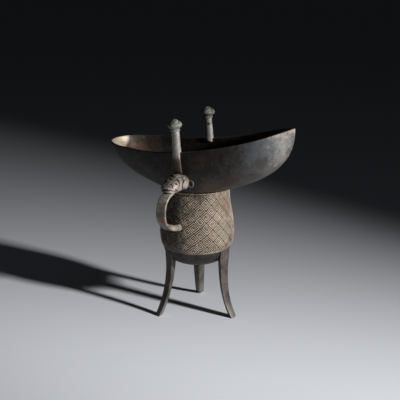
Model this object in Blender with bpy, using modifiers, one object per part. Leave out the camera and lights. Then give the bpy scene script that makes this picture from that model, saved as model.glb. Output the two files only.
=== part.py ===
"""Bronze tripod wine cup, cast as one piece: a round belly on three blade-shaped legs, a
boat-shaped mouth with a long open spout and a pointed tail, two capped posts on the rim, and
a strap handle that comes out of an ox's mouth.

The cup is drawn round its own upright axis: the spout points to -X, the tail to +X and the
handle to -Y. At the end it is moved so that the origin is under the middle of its footprint."""

import math

import bmesh
import bpy
import numpy as np
from mathutils import Vector

# Casting
WALL = 0.0023
BELLY_FLOOR = 0.0032

# Round body, upwards from the floor
BELLY_BOTTOM_HEIGHT = 0.0480
LOWER_CORD_HEIGHT = 0.0661
WIDEST_HEIGHT = 0.0805
NECK_HEIGHT = 0.1180
UPPER_CORD_HEIGHT = 0.1228
LOWER_BAND_RADIUS = 0.0314
WIDEST_RADIUS = 0.0346
NECK_RADIUS = 0.0303
CORD_HALF_HEIGHT = 0.0010
LOWER_CORD_STAND = 0.0008
UPPER_CORD_STAND = 0.0028
BELLY_FULLNESS = 2.3

# Boat-shaped mouth
BOWL_BASE_RADIUS = 0.0321
BOWL_HALF_WIDTH = 0.0330
TAIL_REACH = 0.0959
TAIL_FULLNESS = 5.1
SPOUT_REACH = 0.0895
SPOUT_END_HALF_WIDTH = 0.0226
SPOUT_TAPER_START = 0.0368
SPOUT_RIM_HEIGHT = 0.1581
TAIL_TIP_HEIGHT = 0.1863
RIM_RISE_START = -0.0279
RIM_RISE_POWER = 1.58
TAIL_KEEL_POWER = 1.26
SIDE_KEEL_POWER = 1.63
SPOUT_KEEL_POWER = 1.9
TAIL_UPSWEEP = 2.48
SIDE_UPSWEEP = 2.0
SPOUT_UPSWEEP = 1.47

# Legs: each has its own turn, the stand of its outer face at the top, and its sweep
LEG_TURN = math.radians(-6.2)
LEG_SETS = ((-120, -0.0016, 2.6), (0, 0.0003, 3.8), (120, -0.0005, 3.2))
FOOT_OUTER_RADIUS = 0.0420
LEG_TOP_WIDTH = 0.0142
FOOT_WIDTH = 0.0080
LEG_TOP_DEPTH = 0.0086
FOOT_DEPTH = 0.0047
LEG_WAIST = 0.0010
LEG_RIDGE_HALF_WIDTH = 0.0009
LEG_FACE_CROWN = 0.0007
LEG_EDGE_ROUND = 0.0006
FOOT_EDGE_ROUND = 0.0008

# Posts on the rim
POST_SHIFT = -0.0034
POST_RISE = 0.0303
POST_LEAN = math.radians(4.6)
POST_WIDTH = 0.0070
POST_FOOT_WIDTH = 0.0080
POST_DEPTH = 0.0060
RIB_DROP = 0.0200
RIB_FOOT_WIDTH = 0.0120
RIB_STAND = 0.0020
ROOT_DROP = 0.0045
CAP_RADIUS = 0.0066
CAP_CONE_HEIGHT = 0.0052
CAP_UNDERSIDE_HEIGHT = 0.0042
COLLAR_RADIUS = 0.0044
COLLAR_HEIGHT = 0.0018

# Strap handle: its middle line as reach from the axis and drop below the head's base
STRAP_LINE = (
    (0.0548, 0.0005),
    (0.0595, 0.0020),
    (0.0634, 0.0050),
    (0.0657, 0.0088),
    (0.0667, 0.0130),
    (0.0666, 0.0176),
    (0.0652, 0.0220),
    (0.0621, 0.0259),
    (0.0570, 0.0294),
    (0.0500, 0.0324),
    (0.0420, 0.0350),
)
STRAP_FOOT_DROP = 0.0367
STRAP_WIDTH = 0.0098
STRAP_THICKNESS = 0.0040
TONGUE_WIDTH = 0.0076
TONGUE_TIP_WIDTH = 0.0026

# Ox head that holds the strap
HEAD_LENGTH = 0.0280
HEAD_HALF_WIDTH = 0.0090
HEAD_HEIGHT = 0.0132
MOUTH_DEPTH_SHARE = 0.7
HEAD_ABOVE_CORD = 0.0052
EYE_RADIUS = 0.0019
HORN_RADIUS = 0.0041
EAR_HEIGHT = 0.0078
EAR_WIDTH = 0.0062

# How finely the round forms are cut
HALF_RIM_STATIONS = 35
RIM_RUN_WEIGHT = 0.6
BELLY_STEPS = 4
BAND_STEPS = 7
BOWL_STEPS = 8
INNER_BOWL_STEPS = 6
INNER_BODY_STEPS = 5
LEG_STEPS = 11
STRAP_STEPS = 16
OVERLAP = 0.0008


def clear_scene():
    for old in list(bpy.data.objects):
        bpy.data.objects.remove(old, do_unlink=True)


def make_collection(name):
    collection = bpy.data.collections.new(name)
    bpy.context.scene.collection.children.link(collection)
    return collection


def bronze():
    material = bpy.data.materials.new("aged bronze")
    material.use_nodes = True
    shader = material.node_tree.nodes["Principled BSDF"]
    shader.inputs["Base Color"].default_value = (0.085, 0.075, 0.065, 1.0)
    shader.inputs["Metallic"].default_value = 0.55
    shader.inputs["Roughness"].default_value = 0.52
    return material


def mesh_object(name, mesh, collection):
    made = bpy.data.objects.new(name, mesh)
    collection.objects.link(made)
    return made


def loft(name, rings, start_pole=None, end_pole=None):
    """A closed skin over rings of equal length, ended by a flat face or by a pole."""
    form = bmesh.new()
    rows = [[form.verts.new(point) for point in ring] for ring in rings]
    count = len(rows[0])
    for low, high in zip(rows, rows[1:]):
        for i in range(count):
            j = (i + 1) % count
            form.faces.new((low[i], low[j], high[j], high[i]))
    for row, pole in ((rows[0], start_pole), (rows[-1], end_pole)):
        if pole is None:
            form.faces.new(row)
            continue
        tip = form.verts.new(pole)
        for i in range(count):
            form.faces.new((row[i], row[(i + 1) % count], tip))
    bmesh.ops.recalc_face_normals(form, faces=form.faces)
    mesh = bpy.data.meshes.new(name)
    form.to_mesh(mesh)
    form.free()
    return mesh


def smooth_step(share):
    share = min(max(share, 0.0), 1.0)
    return share * share * (3.0 - 2.0 * share)


def mix(start, end, share):
    return start + (end - start) * share


# The plan and height of the rim

def rim_half_width(x):
    """Half the mouth's width at a place along the cup, zero at both tips."""
    if x >= 0.0:
        return BOWL_HALF_WIDTH * (1.0 - (x / TAIL_REACH) ** TAIL_FULLNESS)
    along = (-x - SPOUT_TAPER_START) / (SPOUT_REACH - SPOUT_TAPER_START)
    width = mix(BOWL_HALF_WIDTH, SPOUT_END_HALF_WIDTH, smooth_step(along))
    into_end = (-x - SPOUT_REACH + SPOUT_END_HALF_WIDTH) / SPOUT_END_HALF_WIDTH
    into_end = min(max(into_end, 0.0), 1.0)
    return width * math.sqrt(1.0 - into_end ** 2)


def rim_height(x):
    """The rim is level along the spout and sweeps up to the tail's tip."""
    along = max(x - RIM_RISE_START, 0.0) / (TAIL_REACH - RIM_RISE_START)
    return SPOUT_RIM_HEIGHT + (TAIL_TIP_HEIGHT - SPOUT_RIM_HEIGHT) * along ** RIM_RISE_POWER


def rim_plan():
    """The outer rim as a ring of plan points, anticlockwise from the tail's tip. They are
    spread by a mix of the run along the rim and the turn about the axis, so that both the
    long mouth and the round body come out even."""
    middle = (TAIL_REACH - SPOUT_REACH) / 2
    half = (TAIL_REACH + SPOUT_REACH) / 2
    sweep = np.linspace(0.0, math.pi, 1500)
    xs = middle + half * np.cos(sweep)
    ys = np.array([rim_half_width(x) for x in xs])
    run = np.concatenate([[0.0], np.cumsum(np.hypot(np.diff(xs), np.diff(ys)))])
    turn = np.arctan2(ys, xs)
    spread = RIM_RUN_WEIGHT * run / run[-1] + (1.0 - RIM_RUN_WEIGHT) * turn / math.pi
    steps = np.linspace(0.0, 1.0, HALF_RIM_STATIONS + 1)
    half_ring = [(float(np.interp(s, spread, xs)), float(np.interp(s, spread, ys))) for s in steps]
    other_half = [(x, -y) for x, y in reversed(half_ring[1:-1])]
    return half_ring + other_half


def inset_plan(plan, inset):
    """The same ring moved inward by one wall, mitred at each corner."""
    count = len(plan)
    moved = []
    for i in range(count):
        back = Vector(plan[i]) - Vector(plan[i - 1])
        ahead = Vector(plan[(i + 1) % count]) - Vector(plan[i])
        first = Vector((back.y, -back.x)).normalized()
        second = Vector((ahead.y, -ahead.x)).normalized()
        shift = (first + second) / (1.0 + first.dot(second))
        point = Vector(plan[i]) - shift * inset
        moved.append((point.x, point.y))
    return moved


# The round body's outer and inner profiles

def belly_radius(height):
    """The rounded underside, from its lowest point to the lower cord."""
    depth = LOWER_CORD_HEIGHT - BELLY_BOTTOM_HEIGHT
    drop = min(max((LOWER_CORD_HEIGHT - height) / depth, 0.0), 1.0)
    return LOWER_BAND_RADIUS * (1.0 - drop ** BELLY_FULLNESS) ** (1.0 / BELLY_FULLNESS)


def band_radius(height):
    """The patterned band: it swells from the lower cord and draws in to the neck."""
    if height < WIDEST_HEIGHT:
        drop = min((WIDEST_HEIGHT - height) / (WIDEST_HEIGHT - LOWER_CORD_HEIGHT), 1.0)
        return mix(LOWER_BAND_RADIUS, WIDEST_RADIUS, math.sqrt(1.0 - drop ** 2))
    rise = min((height - WIDEST_HEIGHT) / (NECK_HEIGHT - WIDEST_HEIGHT), 1.0)
    return mix(NECK_RADIUS, WIDEST_RADIUS, (1.0 + math.cos(math.pi * rise)) / 2)


def body_radius(height):
    """The outer radius at any height of the round body, for whatever joins it."""
    if height < LOWER_CORD_HEIGHT:
        return belly_radius(height)
    return band_radius(height)


def cord_steps(height, radius, stand):
    """Profile points over a half-round cord that stands out from the body."""
    turns = (-90, -45, 0, 45, 90)
    return [
        (
            radius + stand * math.cos(math.radians(turn)),
            height + CORD_HALF_HEIGHT * math.sin(math.radians(turn)),
        )
        for turn in turns
    ]


def outer_profile():
    """Radius and height of each outer ring, from the belly's underside to the bowl."""
    depth = LOWER_CORD_HEIGHT - BELLY_BOTTOM_HEIGHT
    profile = []
    for step in range(1, BELLY_STEPS + 1):
        turn = math.pi / 2 * step / (BELLY_STEPS + 1)
        height = LOWER_CORD_HEIGHT - depth * math.cos(turn) ** (2.0 / BELLY_FULLNESS)
        profile.append((belly_radius(height), height))
    profile += cord_steps(LOWER_CORD_HEIGHT, LOWER_BAND_RADIUS, LOWER_CORD_STAND)
    first = LOWER_CORD_HEIGHT + CORD_HALF_HEIGHT
    last = UPPER_CORD_HEIGHT - CORD_HALF_HEIGHT
    for step in range(1, BAND_STEPS):
        height = mix(first, last, step / BAND_STEPS)
        profile.append((band_radius(height), height))
    profile += cord_steps(UPPER_CORD_HEIGHT, NECK_RADIUS, UPPER_CORD_STAND)
    return profile


def inner_profile(extra=0.0):
    """Radius and height of each ring of the hollow, from the bowl down to the belly."""
    top = UPPER_CORD_HEIGHT - CORD_HALF_HEIGHT
    depth = LOWER_CORD_HEIGHT - BELLY_BOTTOM_HEIGHT - BELLY_FLOOR + extra
    inner_radius = LOWER_BAND_RADIUS - WALL + extra
    profile = []
    for step in range(INNER_BODY_STEPS + 1):
        height = mix(top, LOWER_CORD_HEIGHT, step / INNER_BODY_STEPS)
        profile.append((band_radius(height) - WALL + extra, height))
    for step in range(1, 4):
        turn = math.pi / 2 * step / 4
        height = LOWER_CORD_HEIGHT - depth * math.sin(turn) ** (2.0 / BELLY_FULLNESS)
        profile.append((inner_radius * math.cos(turn) ** (2.0 / BELLY_FULLNESS), height))
    return profile


# The shell

def toward_ends(turn, at_side, at_tail, at_spout):
    """A value that runs smoothly from the sides of the cup to its tail and its spout."""
    lean = math.cos(turn)
    return mix(at_side, at_tail if lean > 0.0 else at_spout, lean * lean)


def bowl_ring(plan, turns, base_radius, base_height, level):
    """One ring of the bowl between the round base, at level 0, and the rim, at level 1."""
    ring = []
    swing = math.pi / 2 * level
    for (x, y), turn in zip(plan, turns):
        keel = toward_ends(turn, SIDE_KEEL_POWER, TAIL_KEEL_POWER, SPOUT_KEEL_POWER)
        upsweep = toward_ends(turn, SIDE_UPSWEEP, TAIL_UPSWEEP, SPOUT_UPSWEEP)
        out = math.sin(swing) ** (2.0 / keel)
        up = 1.0 - max(math.cos(swing), 0.0) ** (2.0 / upsweep)
        ring.append(
            Vector(
                (
                    mix(base_radius * math.cos(turn), x, out),
                    mix(base_radius * math.sin(turn), y, out),
                    mix(base_height, rim_height(x), up),
                )
            )
        )
    return ring


def round_ring(turns, radius, height):
    return [Vector((radius * math.cos(t), radius * math.sin(t), height)) for t in turns]


def shell_mesh():
    """The hollow vessel: up the outside, over the lip and down the inside."""
    plan = rim_plan()
    turns = [math.atan2(y, x) for x, y in plan]
    inner_plan = inset_plan(plan, WALL)
    outer_base = UPPER_CORD_HEIGHT + CORD_HALF_HEIGHT
    rings = [round_ring(turns, r, z) for r, z in outer_profile()]
    for step in range(BOWL_STEPS + 1):
        level = step / BOWL_STEPS
        rings.append(bowl_ring(plan, turns, BOWL_BASE_RADIUS, outer_base + OVERLAP / 4, level))
    for step in range(INNER_BOWL_STEPS + 1):
        level = 1.0 - step / INNER_BOWL_STEPS
        rings.append(bowl_ring(inner_plan, turns, BOWL_BASE_RADIUS - WALL, outer_base + WALL, level))
    rings += [round_ring(turns, r, z) for r, z in inner_profile()]
    bottom = Vector((0.0, 0.0, BELLY_BOTTOM_HEIGHT))
    floor = Vector((0.0, 0.0, BELLY_BOTTOM_HEIGHT + BELLY_FLOOR))
    return loft("shell", rings, bottom, floor)


def hollow_guard_mesh():
    """The hollow, a little too wide: it trims what would reach through the wall."""
    plan = rim_plan()
    turns = [math.atan2(y, x) for x, y in plan]
    inset = WALL - OVERLAP
    guard_plan = inset_plan(plan, inset)
    base_height = UPPER_CORD_HEIGHT + CORD_HALF_HEIGHT + inset
    rings = []
    for step in range(INNER_BOWL_STEPS + 1):
        level = 1.0 - step / INNER_BOWL_STEPS
        rings.append(bowl_ring(guard_plan, turns, BOWL_BASE_RADIUS - inset, base_height, level))
    rings += [round_ring(turns, r, z) for r, z in inner_profile(OVERLAP)]
    top = Vector((0.0, 0.0, TAIL_TIP_HEIGHT))
    floor = Vector((0.0, 0.0, BELLY_BOTTOM_HEIGHT + BELLY_FLOOR - OVERLAP))
    return loft("hollow guard", rings, top, floor)


# Legs

def leg_mesh(name, turn, stand, sweep):
    """A blade of a leg: a broad outer face and two sides that meet in a ridge inside."""
    outward = Vector((math.cos(turn), math.sin(turn), 0.0))
    sideways = Vector((-math.sin(turn), math.cos(turn), 0.0))
    top_radius = LOWER_BAND_RADIUS + stand

    def outer_face(down):
        swing_out = (FOOT_OUTER_RADIUS - top_radius) * max(down, 0.0) ** sweep
        return top_radius + swing_out - LEG_WAIST * math.sin(math.pi * down)

    rings = []
    heights = [LOWER_CORD_HEIGHT * (1.0 - step / LEG_STEPS) for step in range(LEG_STEPS)]
    for height in heights + [FOOT_EDGE_ROUND, 0.0]:
        down = 1.0 - height / LOWER_CORD_HEIGHT
        slope = (outer_face(down + 0.01) - outer_face(down - 0.01)) / (0.02 * LOWER_CORD_HEIGHT)
        trim = 0.0 if height > 0.0 else FOOT_EDGE_ROUND / 2
        radius = outer_face(down) - trim
        half = mix(FOOT_WIDTH, LEG_TOP_WIDTH, (1.0 - down) ** 0.8) / 2 - trim
        depth = mix(FOOT_DEPTH, LEG_TOP_DEPTH, (1.0 - down) ** 2)
        depth = depth * math.sqrt(1.0 + slope ** 2) - 2 * trim
        section = (
            (-LEG_EDGE_ROUND, -half),
            (0.0, LEG_EDGE_ROUND - half),
            (LEG_FACE_CROWN, 0.0),
            (0.0, half - LEG_EDGE_ROUND),
            (-LEG_EDGE_ROUND, half),
            (-depth, LEG_RIDGE_HALF_WIDTH),
            (-depth, -LEG_RIDGE_HALF_WIDTH),
        )
        rings.append(
            [outward * (radius + r) + sideways * s + Vector((0, 0, height)) for r, s in section]
        )
    return loft(name, rings)


# Posts

def post_stem_mesh(name, side):
    """A post with its rib: rounded outside, flat inside. Below the rim it is a rib that
    spreads down the bowl's outer wall, with a short root on the inside of the rim."""
    rim = rim_height(POST_SHIFT)
    wall_base = BOWL_BASE_RADIUS
    collar_bottom = rim + POST_RISE - CAP_CONE_HEIGHT - CAP_UNDERSIDE_HEIGHT - COLLAR_HEIGHT
    bottom = rim - RIB_DROP

    def wall_face(height):
        rise = (height - UPPER_CORD_HEIGHT) / (rim - UPPER_CORD_HEIGHT)
        rise = min(max(rise, 0.0), 1.0)
        return mix(wall_base, rim_half_width(POST_SHIFT), math.sin(math.acos(1.0 - rise)))

    levels = (
        (bottom, RIB_FOOT_WIDTH, -OVERLAP),
        (bottom + 0.10 * RIB_DROP, 0.96 * RIB_FOOT_WIDTH, 0.5 * RIB_STAND),
        (bottom + 0.30 * RIB_DROP, 0.86 * RIB_FOOT_WIDTH, 0.9 * RIB_STAND),
        (bottom + 0.60 * RIB_DROP, mix(RIB_FOOT_WIDTH, POST_FOOT_WIDTH, 0.7), RIB_STAND),
    )
    rings = []
    inner_wall = rim_half_width(POST_SHIFT) - WALL / 2
    for height, width, stand in levels:
        outer = wall_face(height) + stand
        rings.append(post_section(side, 0.0, height, width, wall_face(height) - WALL / 2, outer))
    post_inner = rim_half_width(POST_SHIFT) + RIB_STAND - POST_DEPTH
    outer = rim_half_width(POST_SHIFT) + RIB_STAND
    root = rim - ROOT_DROP
    rings.append(post_section(side, 0.0, root, POST_FOOT_WIDTH, inner_wall, outer))
    shaft_levels = 4
    for step in range(shaft_levels + 1):
        share = step / shaft_levels
        height = mix(rim - ROOT_DROP / 3, collar_bottom + COLLAR_HEIGHT / 2, share)
        lean = max(height - rim, 0.0) * math.tan(POST_LEAN)
        width = mix(POST_FOOT_WIDTH, POST_WIDTH, share)
        rings.append(post_section(side, -lean, height, width, post_inner, outer - 0.0004 * share))
    return loft(name, rings)


def post_section(side, shift, height, width, inner, outer):
    """A flat inner side with two corners and a half-round outer side."""
    points = [(-width / 2, inner), (width / 2, inner)]
    straight = mix(inner, outer, 0.45)
    for step in range(7):
        turn = math.pi * step / 6
        points.append((width / 2 * math.cos(turn), straight + (outer - straight) * math.sin(turn)))
    return [Vector((POST_SHIFT + shift + x, side * y, height)) for x, y in points]


def cap_object(name, side, collection):
    """The turned top of a post: a collar, a flaring underside and a low cone."""
    underside = CAP_CONE_HEIGHT + CAP_UNDERSIDE_HEIGHT
    base = underside + COLLAR_HEIGHT
    neck = mix(COLLAR_RADIUS, POST_WIDTH / 2, 0.6)
    profile = (
        (0.0, 0.0),
        (0.20 * CAP_RADIUS, -0.06 * CAP_CONE_HEIGHT),
        (0.70 * CAP_RADIUS, -0.60 * CAP_CONE_HEIGHT),
        (0.96 * CAP_RADIUS, -0.88 * CAP_CONE_HEIGHT),
        (CAP_RADIUS, -CAP_CONE_HEIGHT),
        (0.93 * CAP_RADIUS, -CAP_CONE_HEIGHT - 0.22 * CAP_UNDERSIDE_HEIGHT),
        (neck, -underside + 0.10 * CAP_UNDERSIDE_HEIGHT),
        (COLLAR_RADIUS, -underside - 0.2 * COLLAR_HEIGHT),
        (COLLAR_RADIUS, -underside - 0.7 * COLLAR_HEIGHT),
        (0.85 * neck, -base),
        (0.0, -base),
    )
    mesh = bpy.data.meshes.new(name)
    edges = [(i, i + 1) for i in range(len(profile) - 1)]
    mesh.from_pydata([(r, 0.0, z) for r, z in profile], edges, [])
    cap = mesh_object(name, mesh, collection)
    screw = cap.modifiers.new("turn", "SCREW")
    screw.steps = 16
    screw.render_steps = 16
    screw.use_merge_vertices = True
    screw.merge_threshold = 0.00001
    rim = rim_height(POST_SHIFT)
    lean = POST_RISE * math.tan(POST_LEAN)
    middle = rim_half_width(POST_SHIFT) + RIB_STAND - POST_DEPTH / 2
    cap.location = (POST_SHIFT - lean, side * middle, rim + POST_RISE)
    cap.rotation_euler = (0.0, -POST_LEAN, 0.0)
    return cap


# Handle and head

def smooth_line(points, steps):
    """A curve through all the points, cut into even shares of their count."""
    line = []
    for step in range(steps + 1):
        place = step / steps * (len(points) - 1)
        i = min(int(place), len(points) - 2)
        share = place - i
        before = points[max(i - 1, 0)]
        after = points[min(i + 2, len(points) - 1)]
        start_pull = (points[i + 1] - before) / 2
        end_pull = (after - points[i]) / 2
        line.append(
            points[i] * (1 + 2 * share) * (1 - share) ** 2
            + points[i + 1] * (3 - 2 * share) * share ** 2
            + start_pull * share * (1 - share) ** 2
            + end_pull * (share - 1) * share ** 2
        )
    return line


def strap_path():
    """The strap's middle line, from inside the ox's mouth to just inside the body's wall."""
    base = UPPER_CORD_HEIGHT + HEAD_ABOVE_CORD
    start = (NECK_RADIUS + MOUTH_DEPTH_SHARE * HEAD_LENGTH, -STRAP_THICKNESS / 6)
    end = (body_radius(base - STRAP_FOOT_DROP) - WALL / 2, STRAP_FOOT_DROP)
    points = [Vector((0.0, -reach, base - drop)) for reach, drop in (start, *STRAP_LINE, end)]
    return smooth_line(points, STRAP_STEPS)


def strap_mesh():
    """A strap, rounded outside and flat inside, that ends in a narrowing tongue."""
    path = strap_path()
    across = Vector((1.0, 0.0, 0.0))
    section = (
        (1.0, 0.0),
        (0.76, 0.64),
        (0.0, 1.0),
        (-0.76, 0.64),
        (-1.0, 0.0),
        (-0.92, -0.85),
        (0.92, -0.85),
    )
    rings = []
    for i, point in enumerate(path):
        ahead = path[min(i + 1, len(path) - 1)] - path[max(i - 1, 0)]
        out = across.cross(ahead.normalized())
        share = i / (len(path) - 1)
        width = mix(STRAP_WIDTH, TONGUE_WIDTH, smooth_step((share - 0.5) / 0.3))
        tip = min(max((share - 0.82) / 0.18, 0.0), 1.0)
        width = mix(TONGUE_TIP_WIDTH, width, math.sqrt(1.0 - tip ** 2))
        rings.append(
            [point + across * (width / 2 * a) + out * (STRAP_THICKNESS / 2 * b) for a, b in section]
        )
    return loft("strap", rings)


def head_mesh():
    """The ox's skull and muzzle, as rounded sections from the neck of the cup outward."""
    sections = (
        (-0.05, 0.95, 0.00, 0.93),
        (0.16, 1.00, 0.00, 0.98),
        (0.32, 1.00, 0.00, 1.00),
        (0.49, 0.95, 0.00, 0.91),
        (0.65, 0.87, 0.00, 0.80),
        (0.80, 0.81, 0.03, 0.70),
        (0.91, 0.79, 0.09, 0.62),
        (0.975, 0.68, 0.16, 0.53),
        (1.00, 0.46, 0.24, 0.45),
    )
    sides = 14
    rings = []
    for along, wide, low, high in sections:
        reach = NECK_RADIUS + HEAD_LENGTH * along
        middle = UPPER_CORD_HEIGHT + HEAD_ABOVE_CORD + HEAD_HEIGHT * (low + high) / 2
        tall = HEAD_HEIGHT * (high - low) / 2
        ring = []
        for i in range(sides):
            turn = 2 * math.pi * (i + 0.5) / sides
            across = math.copysign(abs(math.cos(turn)) ** 0.75, math.cos(turn))
            up = math.copysign(abs(math.sin(turn)) ** 0.75, math.sin(turn))
            ring.append(Vector((HEAD_HALF_WIDTH * wide * across, -reach, middle + tall * up)))
        rings.append(ring)
    return loft("ox head", rings)


def ellipsoid(name, centre, radii, collection):
    form = bmesh.new()
    bmesh.ops.create_uvsphere(form, u_segments=12, v_segments=8, radius=1.0)
    for vertex in form.verts:
        vertex.co = Vector((c + r * v for c, r, v in zip(centre, radii, vertex.co)))
    mesh = bpy.data.meshes.new(name)
    form.to_mesh(mesh)
    form.free()
    return mesh_object(name, mesh, collection)


# Putting the casting together

def join(body, tool, operation):
    step = body.modifiers.new(f"{operation.lower()} {tool.name}", "BOOLEAN")
    step.operation = operation
    step.solver = "EXACT"
    step.object = tool
    tool.hide_render = True
    tool.display_type = "WIRE"


def add_legs(cup, guard, tools):
    for number, (degrees, stand, sweep) in enumerate(LEG_SETS, start=1):
        name = f"leg {number}"
        turn = math.radians(degrees) + LEG_TURN
        leg = mesh_object(name, leg_mesh(name, turn, stand, sweep), tools)
        join(leg, guard, "DIFFERENCE")
        join(cup, leg, "UNION")


def add_posts(cup, tools):
    for place, side in (("near", -1), ("far", 1)):
        stem = mesh_object(f"{place} post", post_stem_mesh(f"{place} post", side), tools)
        join(cup, stem, "UNION")
        join(cup, cap_object(f"{place} cap", side, tools), "UNION")


def add_head(cup, guard, tools):
    head = mesh_object("ox head", head_mesh(), tools)
    join(head, guard, "DIFFERENCE")
    join(cup, head, "UNION")
    radii = {
        "eye": (EYE_RADIUS, EYE_RADIUS, EYE_RADIUS),
        "horn": (0.45 * HORN_RADIUS, HORN_RADIUS, HORN_RADIUS),
        "ear": (EAR_WIDTH / 2, 0.22 * EAR_WIDTH, EAR_HEIGHT / 2),
    }
    for place, side in (("left", -1), ("right", 1)):
        centres = {
            "eye": (0.60 * HEAD_HALF_WIDTH, NECK_RADIUS + 0.68 * HEAD_LENGTH, 0.70),
            "horn": (0.93 * HEAD_HALF_WIDTH, NECK_RADIUS + 0.26 * HEAD_LENGTH, 0.42),
            "ear": (HEAD_HALF_WIDTH + 0.52 * EAR_WIDTH, BOWL_BASE_RADIUS - 0.0004, 0.44),
        }
        for part, (across, reach, up) in centres.items():
            height = UPPER_CORD_HEIGHT + HEAD_ABOVE_CORD + up * HEAD_HEIGHT
            centre = (side * across, -reach, height)
            join(cup, ellipsoid(f"{place} {part}", centre, radii[part], tools), "UNION")


def stand_on_footprint(cup, tools):
    """Moves everything so that the origin is on the floor under the footprint's middle."""
    bpy.context.view_layer.update()
    shape = cup.evaluated_get(bpy.context.evaluated_depsgraph_get()).to_mesh()
    places = np.array([vertex.co for vertex in shape.vertices])
    middle = (places.min(axis=0) + places.max(axis=0)) / 2
    stand = bpy.data.objects.new("footprint", None)
    bpy.context.scene.collection.objects.link(stand)
    stand.location = (-middle[0], -middle[1], 0.0)
    for piece in [cup, *tools.objects]:
        piece.parent = stand


def main():
    clear_scene()
    pieces = make_collection("bronze tripod wine cup")
    tools = make_collection("forms joined to the cup")
    cup = mesh_object("wine_cup", shell_mesh(), pieces)
    cup.data.materials.append(bronze())
    guard = mesh_object("hollow guard", hollow_guard_mesh(), tools)
    guard.hide_render = True
    guard.display_type = "WIRE"
    add_legs(cup, guard, tools)
    add_posts(cup, tools)
    join(cup, mesh_object("strap", strap_mesh(), tools), "UNION")
    add_head(cup, guard, tools)
    stand_on_footprint(cup, tools)


main()
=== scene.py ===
"""Looks of the bronze tripod wine cup.

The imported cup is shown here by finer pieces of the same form: a shell with a softened lip, a
band of lozenges with squared spirals, legs, posts with whorled caps, a strap and an ox's head.
All of them are drawn round the cup's own upright axis, from the same sizes as the solids, and
moved into the frame at the end: the spout points to -X, the tail to +X, the handle to -Y."""

import math

import bmesh
import bpy
import numpy as np
from mathutils import Matrix, Vector


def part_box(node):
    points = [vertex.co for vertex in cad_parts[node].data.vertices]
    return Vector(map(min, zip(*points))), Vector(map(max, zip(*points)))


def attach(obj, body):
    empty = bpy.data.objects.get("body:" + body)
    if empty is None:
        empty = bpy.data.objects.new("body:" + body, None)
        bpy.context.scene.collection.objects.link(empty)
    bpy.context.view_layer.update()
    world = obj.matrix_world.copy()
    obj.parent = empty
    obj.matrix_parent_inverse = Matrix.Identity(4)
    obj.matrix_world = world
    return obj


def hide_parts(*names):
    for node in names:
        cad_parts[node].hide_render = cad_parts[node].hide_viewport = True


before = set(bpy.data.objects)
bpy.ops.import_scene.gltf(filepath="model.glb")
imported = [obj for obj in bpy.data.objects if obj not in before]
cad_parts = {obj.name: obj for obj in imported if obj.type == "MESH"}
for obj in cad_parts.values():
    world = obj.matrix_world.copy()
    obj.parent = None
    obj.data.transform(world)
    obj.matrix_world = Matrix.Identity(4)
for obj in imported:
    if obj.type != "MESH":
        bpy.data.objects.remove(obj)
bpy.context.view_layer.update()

# Casting, from the solids
WALL = 0.0023
BELLY_FLOOR = 0.0032

# Round body
BELLY_BOTTOM_HEIGHT = 0.0480
LOWER_CORD_HEIGHT = 0.0661
WIDEST_HEIGHT = 0.0805
NECK_HEIGHT = 0.1180
UPPER_CORD_HEIGHT = 0.1228
LOWER_BAND_RADIUS = 0.0314
WIDEST_RADIUS = 0.0346
NECK_RADIUS = 0.0303
CORD_HALF_HEIGHT = 0.0010
LOWER_CORD_STAND = 0.0008
UPPER_CORD_STAND = 0.0028
BELLY_FULLNESS = 2.3

# Boat-shaped mouth
BOWL_BASE_RADIUS = 0.0321
BOWL_HALF_WIDTH = 0.0330
TAIL_REACH = 0.0959
TAIL_FULLNESS = 5.1
SPOUT_REACH = 0.0895
SPOUT_END_HALF_WIDTH = 0.0226
SPOUT_TAPER_START = 0.0368
SPOUT_RIM_HEIGHT = 0.1581
TAIL_TIP_HEIGHT = 0.1863
RIM_RISE_START = -0.0279
RIM_RISE_POWER = 1.58
# Fullness of the bowl's sections and of their upsweep: at the sides, the tail and the spout
KEEL_POWERS = (1.63, 1.26, 1.9)
UPSWEEPS = (2.0, 2.48, 1.47)

# Legs
LEG_TURN = math.radians(-6.2)
# Each leg: its turn in degrees, how far its root stands out, the power of its sweep
LEG_SETS = ((-120, -0.0016, 2.6), (0, 0.0003, 3.8), (120, -0.0005, 3.2))
FOOT_OUTER_RADIUS = 0.0420
LEG_TOP_WIDTH = 0.0142
FOOT_WIDTH = 0.0080
LEG_TOP_DEPTH = 0.0086
FOOT_DEPTH = 0.0047
LEG_WAIST = 0.0010
LEG_RIDGE_HALF_WIDTH = 0.0009
LEG_FACE_CROWN = 0.0007

# Posts
POST_SHIFT = -0.0034
POST_RISE = 0.0303
POST_LEAN = math.radians(4.6)
POST_WIDTH = 0.0070
POST_FOOT_WIDTH = 0.0080
POST_DEPTH = 0.0060
RIB_DROP = 0.0200
RIB_FOOT_WIDTH = 0.0120
RIB_STAND = 0.0020
ROOT_DROP = 0.0045
CAP_RADIUS = 0.0066
CAP_CONE_HEIGHT = 0.0052
CAP_UNDERSIDE_HEIGHT = 0.0042
COLLAR_RADIUS = 0.0044
COLLAR_HEIGHT = 0.0018

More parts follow.
